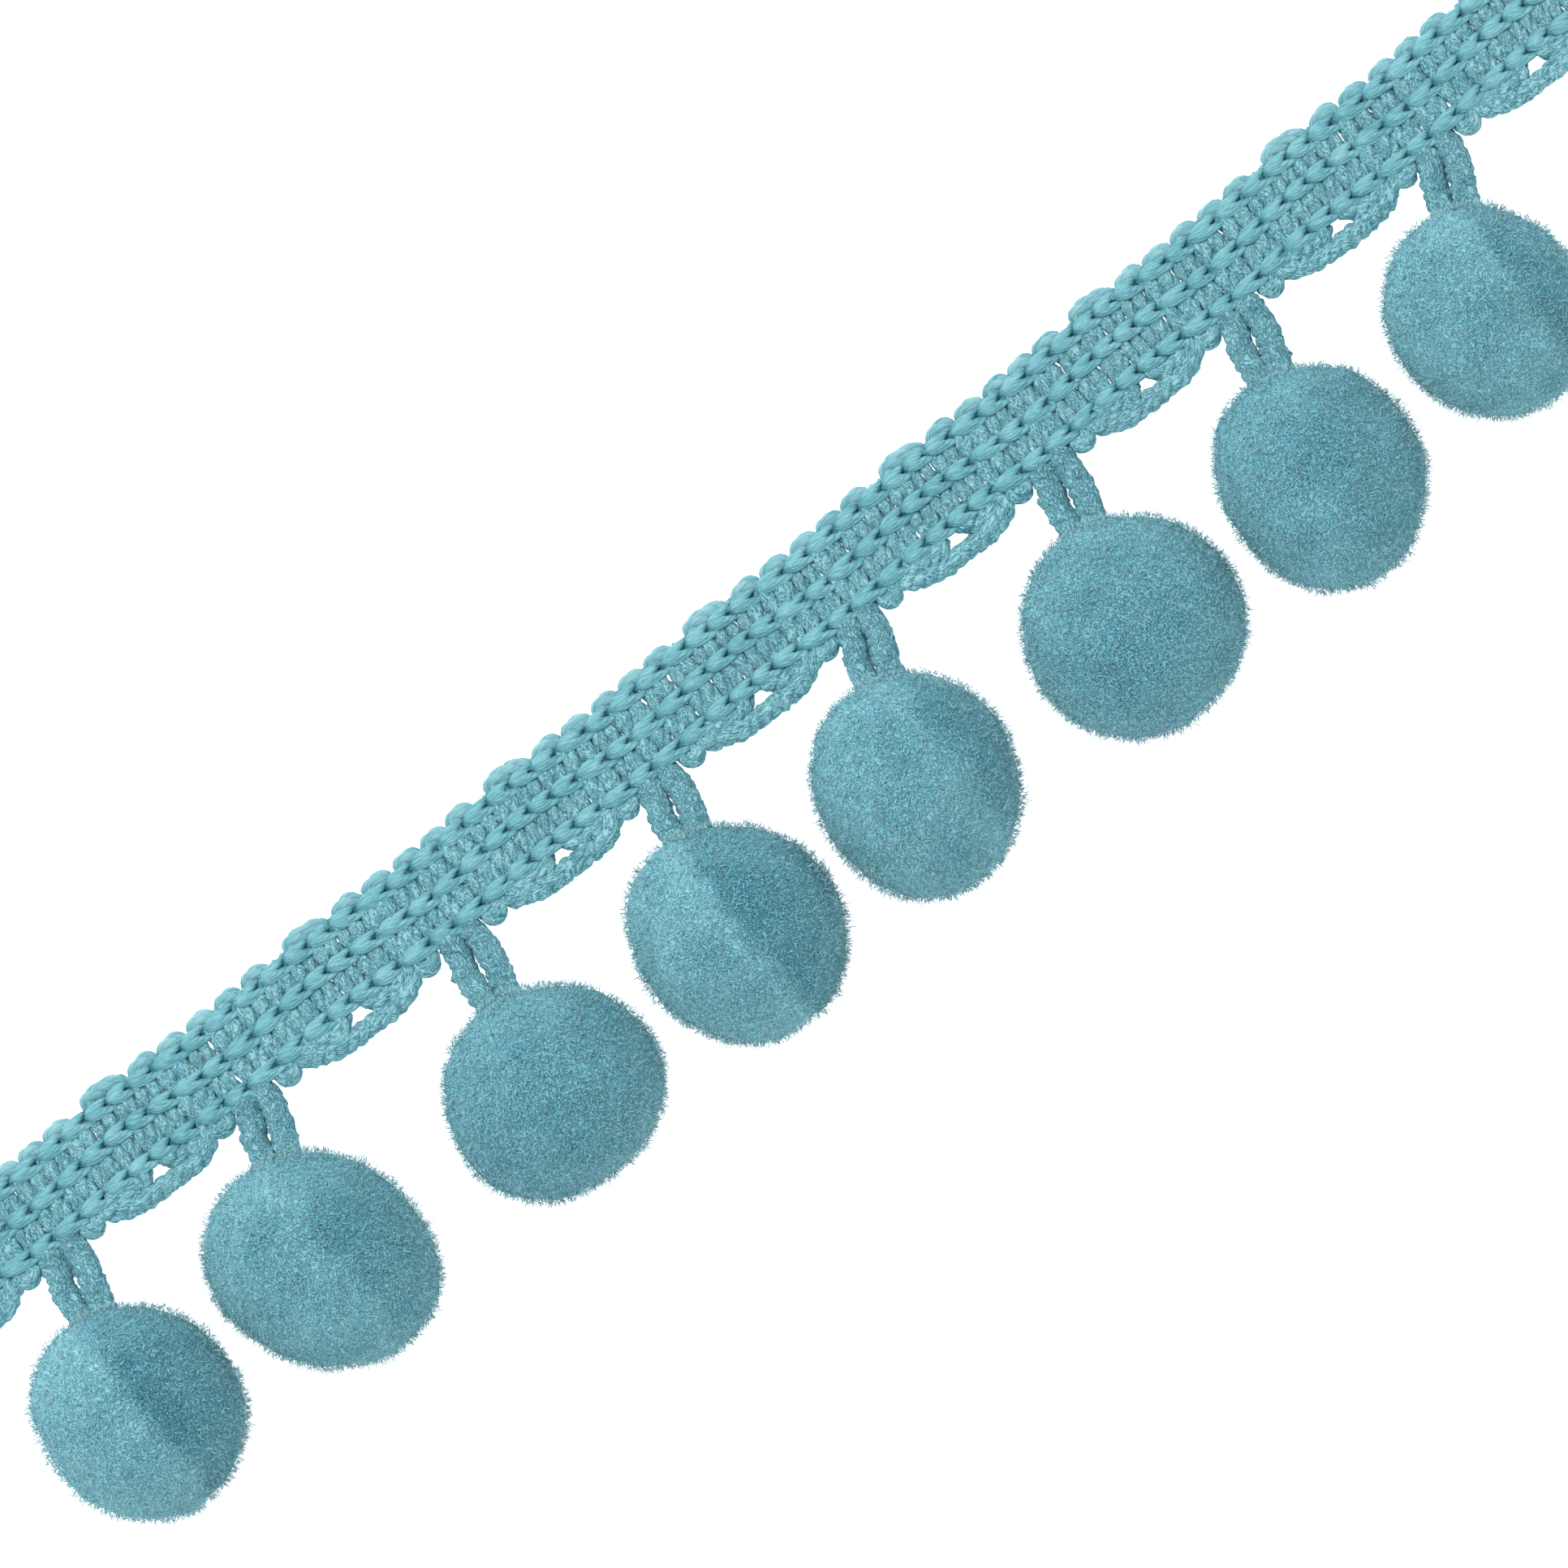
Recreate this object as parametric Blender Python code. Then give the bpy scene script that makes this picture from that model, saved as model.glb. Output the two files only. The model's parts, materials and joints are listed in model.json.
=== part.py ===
"""Pompom fringe trim: a knitted gimp braid with pompoms hung from looped cords.

Metres, +Z up. +X runs along the braid, and the pompoms lie towards -Y. The origin
is on the braid's flat underside at its mid-length. The trim lies flat, as laid out.
"""

import math
import random
from typing import NamedTuple

import bmesh
import bpy
from mathutils import Vector

MM = 0.001

# The length of trim and how it lies
LENGTH = 200.0 * MM
PITCH = 23.25 * MM
BOW = 1.0 * MM
CLEARANCE = 0.3 * MM
SEED = 11


class Pompom(NamedTuple):
    """One pompom and the place of its hanger, in millimetres and degrees.

    Its plan is a circle made oval and a little pear-shaped, by shares of its radius.
    """

    hanger_x: float
    x: float
    y: float
    radius: float
    oval: float
    oval_angle: float
    pear: float
    pear_angle: float


POMPOMS = (
    Pompom(-81.4, -84.4, -20.0, 10.3, 0.059, 96.0, 0.010, -8.0),
    Pompom(-58.7, -62.7, -19.6, 10.8, 0.088, 115.0, 0.016, 41.0),
    Pompom(-34.4, -36.4, -20.8, 10.5, 0.031, 172.0, 0.026, -26.0),
    Pompom(-11.1, -14.1, -20.0, 10.6, 0.054, 98.0, 0.019, -5.0),
    Pompom(12.4, 7.2, -19.8, 10.5, 0.075, 75.0, 0.008, -3.0),
    Pompom(35.4, 31.7, -20.7, 10.8, 0.002, 27.0, 0.010, -16.0),
    Pompom(57.7, 53.8, -20.8, 10.5, 0.072, 84.0, 0.020, -3.0),
    Pompom(81.4, 75.1, -18.6, 10.1, 0.068, 92.0, 0.015, -52.0),
)


class Wale(NamedTuple):
    """One chain-stitched row: where its middle lies at a hanger and between two."""

    y_at_hanger: float
    y_between: float


WALES = (
    Wale(3.15 * MM, 3.50 * MM),
    Wale(-0.08 * MM, 0.60 * MM),
    Wale(-3.40 * MM, -3.00 * MM),
)

# Where each chain stitch of a repeat begins, as a share of the repeat
STITCH_STARTS = (0.0, 0.142, 0.277, 0.403, 0.515, 0.621, 0.739, 0.887)


class StitchStep(NamedTuple):
    """The chain's section at one share of a stitch, from its notch to its wide end."""

    share: float
    half_width: float
    crest: float
    flank: float
    weft: float


STITCH_STEPS = (
    StitchStep(0.00, 0.88 * MM, 1.85 * MM, 1.90 * MM, 1.05 * MM),
    StitchStep(0.36, 0.60 * MM, 2.35 * MM, 1.30 * MM, 1.65 * MM),
    StitchStep(0.70, 0.84 * MM, 2.50 * MM, 1.50 * MM, 1.75 * MM),
)


class EdgeLoop(NamedTuple):
    """A turn of gimp at the braid's edge: middle as a share of the repeat, and size."""

    share: float
    half_width: float
    reach: float


TOP_LOOPS = (
    EdgeLoop(0.040, 1.45 * MM, 0.80 * MM),
    EdgeLoop(0.170, 1.40 * MM, 0.80 * MM),
    EdgeLoop(0.297, 1.50 * MM, 0.85 * MM),
    EdgeLoop(0.530, 2.50 * MM, 1.20 * MM),
    EdgeLoop(0.760, 1.65 * MM, 0.95 * MM),
    EdgeLoop(0.900, 1.45 * MM, 0.80 * MM),
)
LOWER_LOOPS = (
    EdgeLoop(0.165, 1.60 * MM, 1.00 * MM),
    EdgeLoop(0.506, 6.60 * MM, 2.05 * MM),
    EdgeLoop(0.840, 1.60 * MM, 1.00 * MM),
)

# Heights and edges of the braid's section
TOP_VALLEY = 4.35 * MM
LOWER_CUSP = -4.95 * MM
RECESS_Y = -4.45 * MM
RECESS_HALF = 2.80 * MM
LOOP_HEIGHT = 1.80 * MM
LOOP_DIMPLE = 0.25 * MM
SIDE_HEIGHT = 0.90 * MM
BASE_INSET = 0.35 * MM
WEFT_WANDER = 0.10 * MM
END_COLUMN_GAP = 0.35 * MM

# The hanger's looped cord
CORD_RADIUS = 1.20 * MM
CORD_GROOVE = 0.20 * MM
CORD_PLIES = 3
CORD_TWIST = 4.2 * MM
CORD_STEP = 0.60 * MM
LEG_HALF_GAP = 1.25 * MM
BEND_RADIUS = 1.35 * MM
LEG_HANDLE = 2.0 * MM
BEND_STEPS = 6

# The pompoms' pile balls
CORE_SHARE = 0.965
REST_SHARE = 0.93
SEAT_SHARE = 0.93
LUMP = 0.020
TUFTS = 36
TUFT_HEIGHT = (0.35 * MM, 0.70 * MM)
TUFT_LOWEST = -0.55
TUFT_SEAT_COSINE = 0.62
BALL_SUBDIVISIONS = 3

COLOURS = {
    "braid_gimp": (0.157, 0.430, 0.490),
    "hanger_cord": (0.133, 0.385, 0.455),
    "pompom_pile": (0.110, 0.345, 0.420),
}
ROUGHNESS = {"braid_gimp": 0.62, "hanger_cord": 0.78, "pompom_pile": 0.90}


def clear_scene():
    """Remove every object that the file opened with."""
    for item in list(bpy.data.objects):
        bpy.data.objects.remove(item, do_unlink=True)


def new_collection(name):
    """Return a new collection linked to the scene."""
    collection = bpy.data.collections.new(name)
    bpy.context.scene.collection.children.link(collection)
    return collection


def new_material(name):
    """Return the named finish as a Principled BSDF."""
    material = bpy.data.materials.new(name)
    material.use_nodes = True
    shader = material.node_tree.nodes["Principled BSDF"]
    shader.inputs["Base Color"].default_value = (*COLOURS[name], 1.0)
    shader.inputs["Roughness"].default_value = ROUGHNESS[name]
    shader.inputs["Metallic"].default_value = 0.0
    return material


def add_object(name, data, material, collection):
    """Make one named object from mesh or curve data."""
    data.materials.append(material)
    item = bpy.data.objects.new(name, data)
    collection.objects.link(item)
    return item


def bow(x):
    """Return how far the braid's line has swung towards +Y at x."""
    return BOW * (1.0 - math.cos(math.pi * x / LENGTH))


def hanger_x(index):
    """Return a hanger's place along the braid, also past the first and last."""
    last = len(POMPOMS) - 1
    nearest = min(max(index, 0), last)
    return POMPOMS[nearest].hanger_x * MM + (index - nearest) * PITCH


def wale_y(wale, share):
    """Return a wale's middle at a share of the repeat."""
    near = 0.5 + 0.5 * math.cos(2.0 * math.pi * share)
    return wale.y_at_hanger * near + wale.y_between * (1.0 - near)


def loop_reach(loops, share, repeat):
    """Return how far the edge loops stand out at a share of a repeat."""
    reach = 0.0
    for loop in loops:
        for shift in (-1.0, 0.0, 1.0):
            offset = (share - loop.share + shift) * repeat / loop.half_width
            if abs(offset) < 1.0:
                reach = max(reach, loop.reach * math.sqrt(1.0 - offset * offset))
    return reach


class Column(NamedTuple):
    """One cross-section of the braid: its place, its share of the repeat, its step."""

    x: float
    share: float
    repeat: float
    step: StitchStep


def braid_columns():
    """Return the braid's cross-sections from one cut end to the other."""
    half = LENGTH / 2.0
    columns = []
    for index in range(-1, len(POMPOMS)):
        start = hanger_x(index)
        repeat = hanger_x(index + 1) - start
        ends = STITCH_STARTS[1:] + (1.0,)
        for low, high in zip(STITCH_STARTS, ends):
            for step in STITCH_STEPS:
                share = low + (high - low) * step.share
                x = start + share * repeat
                if abs(x) < half - END_COLUMN_GAP:
                    columns.append(Column(x, share, repeat, step))
    first = columns[0]._replace(x=-half)
    last = columns[-1]._replace(x=half)
    return [first] + columns + [last]


def lower_outline(column):
    """Return the braid's lower edge, with the recess from which a hanger drops."""
    from_hanger = min(column.share, 1.0 - column.share) * column.repeat
    if from_hanger < RECESS_HALF:
        return RECESS_Y
    return LOWER_CUSP - loop_reach(LOWER_LOOPS, column.share, column.repeat)


def braid_section(column, dice):
    """Return one closed cross-section as (y, z) points, from the top edge round."""
    step = column.step
    upper, middle, lower = (wale_y(wale, column.share) for wale in WALES)
    top = TOP_VALLEY + loop_reach(TOP_LOOPS, column.share, column.repeat)
    bottom = lower_outline(column)
    upper_edge = upper + step.half_width
    lower_edge = max(lower - step.half_width, bottom + CLEARANCE)
    loop_height = LOOP_HEIGHT - (LOOP_DIMPLE if step is STITCH_STEPS[0] else 0.0)
    points = [
        (top, SIDE_HEIGHT),
        (0.5 * (top + upper_edge), loop_height),
        (upper_edge, step.flank),
    ]
    for above, below in ((upper, middle), (middle, lower)):
        weft = step.weft + dice.uniform(-WEFT_WANDER, WEFT_WANDER)
        points += [
            (above, step.crest),
            (above - step.half_width, step.flank),
            ((above + below) / 2.0, weft),
            (below + step.half_width, step.flank),
        ]
    points += [
        (lower, step.crest),
        (lower_edge, step.flank),
        (0.5 * (lower_edge + bottom), loop_height),
        (bottom, SIDE_HEIGHT),
        (bottom + BASE_INSET, 0.0),
        (top - BASE_INSET, 0.0),
    ]
    return points


def make_braid(material, collection):
    """Wrap a grid round the braid's sections and close its two cut ends."""
    dice = random.Random(SEED)
    columns = braid_columns()
    sections = [braid_section(column, dice) for column in columns]
    across = len(sections[0])
    along = len(columns) - 1
    bm = bmesh.new()
    bmesh.ops.create_grid(bm, x_segments=along, y_segments=across, size=0.5)
    for vert in bm.verts:
        number = round((vert.co.x + 0.5) * along)
        place = round((vert.co.y + 0.5) * across) % across
        y, z = sections[number][place]
        x = columns[number].x
        vert.co = (x, y + bow(x), z)
    bmesh.ops.remove_doubles(bm, verts=bm.verts, dist=0.001 * MM)
    rims = [edge for edge in bm.edges if edge.is_boundary]
    bmesh.ops.holes_fill(bm, edges=rims, sides=0)
    bmesh.ops.recalc_face_normals(bm, faces=bm.faces)
    mesh = bpy.data.meshes.new("braid")
    bm.to_mesh(mesh)
    bm.free()
    mesh.shade_smooth()
    return add_object("braid", mesh, material, collection)


def ball_centre(row):
    """Return a pompom's middle, low enough to rest on its flat spot."""
    core = row.radius * CORE_SHARE * MM
    return Vector((row.x * MM, row.y * MM, REST_SHARE * core))


def hanger_root(row):
    """Return the point midway between a hanger's two roots at the braid's edge."""
    x = row.hanger_x * MM
    return Vector((x, RECESS_Y + bow(x) - CLEARANCE, CORD_RADIUS))


def seat_direction(row):
    """Return the direction from a pompom's middle to its hanger's root."""
    return (hanger_root(row) - ball_centre(row)).normalized()


def bezier(start, handle_a, handle_b, end, share):
    """Return a point on a cubic curve."""
    rest = 1.0 - share
    return (
        start * rest**3
        + handle_a * 3.0 * rest**2 * share
        + handle_b * 3.0 * rest * share**2
        + end * share**3
    )


def hanger_path(row):
    """Return the loop's middle line: down one leg, round the bend, up the other."""
    outward = seat_direction(row)
    side = outward.cross(Vector((0.0, 0.0, 1.0))).normalized()
    seat = row.radius * CORE_SHARE * SEAT_SHARE * MM
    from_centre = seat + CLEARANCE + CORD_RADIUS + BEND_RADIUS
    bend = ball_centre(row) + outward * from_centre
    root = hanger_root(row)
    across = Vector((LEG_HALF_GAP, 0.0, 0.0))
    down = Vector((0.0, -LEG_HANDLE, 0.0))
    legs = []
    for sign in (-1.0, 1.0):
        start = root + across * sign
        end = bend + side * (BEND_RADIUS * sign)
        handle = end + outward * LEG_HANDLE
        count = max(round((start - end).length / CORD_STEP), 2)
        legs.append([bezier(start, start + down, handle, end, i / count) for i in range(count + 1)])
    turn = []
    for number in range(1, BEND_STEPS):
        angle = math.pi * number / BEND_STEPS
        swing = -side * math.cos(angle) - outward * math.sin(angle)
        turn.append(bend + swing * BEND_RADIUS)
    return legs[0] + turn + legs[1][::-1]


def make_cord_profile(collection):
    """Make the twisted cord's section: one high and one low point for each ply."""
    curve = bpy.data.curves.new("cord_profile", "CURVE")
    curve.dimensions = "2D"
    spline = curve.splines.new("POLY")
    count = 2 * CORD_PLIES
    spline.points.add(count - 1)
    spline.use_cyclic_u = True
    for number, point in enumerate(spline.points):
        radius = CORD_RADIUS - CORD_GROOVE * (number % 2)
        angle = -2.0 * math.pi * number / count
        point.co = (radius * math.cos(angle), radius * math.sin(angle), 0.0, 1.0)
    guide = bpy.data.objects.new("cord_profile", curve)
    guide.hide_render = True
    guide.display_type = "WIRE"
    collection.objects.link(guide)
    return guide


def make_hanger(number, row, profile, material, collection):
    """Sweep the cord's section along a hanger's loop, turning it as it is twisted."""
    path = hanger_path(row)
    curve = bpy.data.curves.new(f"hanger_{number}", "CURVE")
    curve.dimensions = "3D"
    curve.twist_mode = "MINIMUM"
    curve.bevel_mode = "OBJECT"
    curve.bevel_object = profile
    curve.use_fill_caps = True
    spline = curve.splines.new("POLY")
    spline.points.add(len(path) - 1)
    travelled = 0.0
    for index, (point, place) in enumerate(zip(spline.points, path)):
        if index:
            travelled += (place - path[index - 1]).length
        point.co = (*place, 1.0)
        point.tilt = 2.0 * math.pi * travelled / CORD_TWIST
    return add_object(f"hanger_{number}", curve, material, collection)


def outline_swell(row, azimuth):
    """Return how far a ball's plan stands out of a circle, as a share of its radius."""
    oval = row.oval * math.cos(2.0 * (azimuth - math.radians(row.oval_angle)))
    pear = row.pear * math.cos(3.0 * (azimuth - math.radians(row.pear_angle)))
    return oval + pear


def lump(direction, phases):
    """Return a soft uneven swelling of the ball's top and underside."""
    waves = (
        math.sin(4.1 * direction.x + phases[0]),
        math.sin(5.3 * direction.y + phases[1]),
        math.sin(4.7 * direction.z + phases[2]),
    )
    return LUMP * sum(waves)


def raise_tufts(bm, outward, dice):
    """Raise three-sided tufts on faces that lie clear of the floor and the seat."""
    free = [
        face
        for face in bm.faces
        if face.normal.z > TUFT_LOWEST and face.normal.dot(outward) < TUFT_SEAT_COSINE
    ]
    chosen = dice.sample(free, TUFTS)
    normals = [face.normal.copy() for face in chosen]
    poked = bmesh.ops.poke(bm, faces=chosen)
    for vert, normal in zip(poked["verts"], normals):
        vert.co += normal * dice.uniform(*TUFT_HEIGHT)


def make_pompom(number, row, material, collection):
    """Shape one pile ball, with its flat spot, its seat and its tufts."""
    dice = random.Random(SEED + number)
    core = row.radius * CORE_SHARE * MM
    outward = seat_direction(row)
    phases = [dice.uniform(0.0, 2.0 * math.pi) for _ in range(3)]
    bm = bmesh.new()
    bmesh.ops.create_icosphere(bm, subdivisions=BALL_SUBDIVISIONS, radius=core)
    for vert in bm.verts:
        direction = vert.co.normalized()
        swell = outline_swell(row, math.atan2(direction.y, direction.x))
        steep = direction.z**2
        vert.co = direction * core * (1.0 + swell * (1.0 - steep) + lump(direction, phases) * steep)
    bm.normal_update()
    raise_tufts(bm, outward, dice)
    seat = core * SEAT_SHARE
    floor = -REST_SHARE * core
    for vert in bm.verts:
        past = vert.co.dot(outward) - seat
        if past > 0.0:
            vert.co -= outward * past
        vert.co.z = max(vert.co.z, floor)
    bmesh.ops.translate(bm, verts=bm.verts, vec=ball_centre(row))
    mesh = bpy.data.meshes.new(f"pompom_{number}")
    bm.to_mesh(mesh)
    bm.free()
    mesh.shade_smooth()
    return add_object(f"pompom_{number}", mesh, material, collection)


def main():
    """Build the trim."""
    clear_scene()
    trim = new_collection("pompom_fringe_trim")
    guides = new_collection("guides")
    finishes = {name: new_material(name) for name in COLOURS}
    make_braid(finishes["braid_gimp"], trim)
    profile = make_cord_profile(guides)
    for number, row in enumerate(POMPOMS, start=1):
        make_hanger(number, row, profile, finishes["hanger_cord"], trim)
        make_pompom(number, row, finishes["pompom_pile"], trim)


main()
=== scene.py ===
"""Looks of the pompom fringe trim: satin chain stitches, crimped gimp and trimmed pile.

Metres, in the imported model's frame: +X runs along the braid, the pompoms lie towards
-Y, and +Z points up off the surface on which the trim lies.
"""

import json
import logging
import math
import random
from dataclasses import dataclass, field
from enum import Enum
from typing import Iterator, Sequence

import bpy
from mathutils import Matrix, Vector

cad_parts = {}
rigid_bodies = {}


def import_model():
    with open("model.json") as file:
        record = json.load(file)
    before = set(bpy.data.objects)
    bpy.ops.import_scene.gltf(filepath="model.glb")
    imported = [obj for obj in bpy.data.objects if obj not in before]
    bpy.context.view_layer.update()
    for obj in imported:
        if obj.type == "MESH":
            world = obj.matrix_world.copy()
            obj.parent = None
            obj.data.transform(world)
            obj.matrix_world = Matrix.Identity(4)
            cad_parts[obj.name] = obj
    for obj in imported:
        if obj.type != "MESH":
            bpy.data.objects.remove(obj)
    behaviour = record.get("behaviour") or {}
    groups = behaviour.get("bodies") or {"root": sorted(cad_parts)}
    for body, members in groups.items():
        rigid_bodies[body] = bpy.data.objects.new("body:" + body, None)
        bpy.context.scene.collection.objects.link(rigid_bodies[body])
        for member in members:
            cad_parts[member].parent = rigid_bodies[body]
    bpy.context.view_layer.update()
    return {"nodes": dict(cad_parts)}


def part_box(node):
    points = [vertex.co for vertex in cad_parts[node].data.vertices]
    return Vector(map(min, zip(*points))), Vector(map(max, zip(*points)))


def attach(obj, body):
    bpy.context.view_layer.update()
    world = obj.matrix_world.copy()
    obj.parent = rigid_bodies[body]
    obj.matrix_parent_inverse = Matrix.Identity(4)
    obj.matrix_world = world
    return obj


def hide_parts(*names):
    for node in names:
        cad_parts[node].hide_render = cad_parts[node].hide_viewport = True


for leftover in list(bpy.data.objects):
    bpy.data.objects.remove(leftover, do_unlink=True)
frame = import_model()

MM = 0.001
BODY = "root"
HALF_LENGTH = 100.0 * MM
FLOOR_GAP = 0.02 * MM
PHOTO_SPAN = 144.9 * MM
PHOTO_TURN = math.radians(-38.7)
PHOTO_MIDDLE = Vector((-2.3 * MM, -12.1 * MM, 0.0))
PLY_SHIFT = 7.3
SHORT_BIAS = 2.2
TONE_STOPS = (0.25, 0.5, 0.80)
STRAND_SHIFT = (9.0, 5.0, 7.0)
CURL_SHIFTS = ((0.0, 0.0, 0.0), (0.31, 0.17, 0.23))
CURL_SHARPNESS = 1.8
FIBRE_BEND = 2.5
FIBRE_TAPER = 0.75
FIBRE_HEIGHT = 0.9

logging.basicConfig(level=logging.INFO, format="%(message)s")
log = logging.getLogger("trim")

Colour = tuple[float, float, float]
Value = bpy.types.NodeSocket | float | tuple


class Slot(Enum):
    """The record's material slots."""

    BRAID = "braid_gimp"
    CORD = "hanger_cord"
    PILE = "pompom_pile"


class Side(Enum):
    """One of the two strands or legs that run side by side."""

    LEFT = -1.0
    RIGHT = 1.0


class Board:
    """Adds and joins the nodes of one node tree."""

    def __init__(self, tree: bpy.types.NodeTree) -> None:
        """Take the tree to work on."""
        self.tree = tree

    def add(self, kind: str, **settings: object) -> bpy.types.Node:
        """Add a node.

        Args:
            kind: The node's type name.
            settings: Properties to set on it.

        Returns:
            The new node.
        """
        node = self.tree.nodes.new(kind)
        for name, value in settings.items():
            setattr(node, name, value)
        return node

    def feed(self, target: bpy.types.NodeSocket, value: Value) -> None:
        """Link a socket to a target, or set the target's own value.

        Args:
            target: The input socket.
            value: A socket to link, or a plain value.
        """
        if isinstance(value, bpy.types.NodeSocket):
            self.tree.links.new(value, target)
        else:
            target.default_value = value

    def math(self, operation: str, *values: Value) -> bpy.types.NodeSocket:
        """Do a sum on numbers.

        Args:
            operation: The Math node's operation.
            values: Sockets or plain numbers.

        Returns:
            The result's socket.
        """
        node = self.add("ShaderNodeMath", operation=operation)
        for socket, value in zip(node.inputs, values):
            self.feed(socket, value)
        return node.outputs[0]

    def vector(self, operation: str, *values: Value) -> bpy.types.NodeSocket:
        """Do a sum on vectors.

        Args:
            operation: The Vector Math node's operation.
            values: Sockets or plain vectors.

        Returns:
            The resulting vector's socket.
        """
        node = self.add("ShaderNodeVectorMath", operation=operation)
        for socket, value in zip(node.inputs, values):
            self.feed(socket, value)
        return node.outputs[0]

    def scaled(self, vector: Value, factor: Value) -> bpy.types.NodeSocket:
        """Scale a vector.

        Args:
            vector: A socket or a plain vector.
            factor: A socket or a plain number.

        Returns:
            The scaled vector's socket.
        """
        node = self.add("ShaderNodeVectorMath", operation="SCALE")
        self.feed(node.inputs[0], vector)
        self.feed(node.inputs["Scale"], factor)
        return node.outputs[0]


def blend(board: Board, *parts: tuple[Value, float]) -> bpy.types.NodeSocket:
    """Add up sockets, each times its weight.

    Args:
        board: The tree's board.
        parts: Each socket and its weight.

    Returns:
        The sum's socket.
    """
    total = board.math("MULTIPLY", parts[0][0], parts[0][1])
    for value, weight in parts[1:]:
        total = board.math("MULTIPLY_ADD", value, weight, total)
    return total


@dataclass
class Recipe:
    """A Geometry Nodes tree with named inputs, and the way to run it once."""

    tree: bpy.types.NodeTree
    names: dict[str, str] = field(default_factory=dict)

    def declare(self, inputs: dict[str, str]) -> dict[str, bpy.types.NodeSocket]:
        """Make the tree's sockets.

        Args:
            inputs: Each input's name and socket type.

        Returns:
            The group input's sockets by name.
        """
        for name, kind in {"Geometry": "NodeSocketGeometry", **inputs}.items():
            made = self.tree.interface.new_socket(name, in_out="INPUT", socket_type=kind)
            self.names[name] = made.identifier
        self.tree.interface.new_socket(
            "Geometry", in_out="OUTPUT", socket_type="NodeSocketGeometry"
        )
        entry = self.tree.nodes.new("NodeGroupInput")
        return {socket.name: socket for socket in entry.outputs if socket.name}

    def run(self, mesh: bpy.types.Mesh, name: str, values: dict[str, object]) -> bpy.types.Object:
        """Run the tree on a mesh and keep the result as a plain mesh object.

        Args:
            mesh: What goes into the tree.
            name: The new object's name.
            values: The named inputs.

        Returns:
            An object without modifiers, at the origin.
        """
        source = bpy.data.objects.new(name + "_source", mesh)
        bpy.context.scene.collection.objects.link(source)
        modifier = source.modifiers.new("recipe", "NODES")
        modifier.node_group = self.tree
        for label, value in values.items():
            modifier[self.names[label]] = value
        depsgraph = bpy.context.evaluated_depsgraph_get()
        evaluated = source.evaluated_get(depsgraph)
        result = bpy.data.meshes.new_from_object(
            evaluated, preserve_all_data_layers=True, depsgraph=depsgraph
        )
        result.name = name
        bpy.data.objects.remove(source, do_unlink=True)
        made = bpy.data.objects.new(name, result)
        bpy.context.scene.collection.objects.link(made)
        return made


def new_recipe(name: str) -> Recipe:
    """Return an empty Geometry Nodes recipe."""
    return Recipe(bpy.data.node_groups.new(name, "GeometryNodeTree"))


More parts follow.
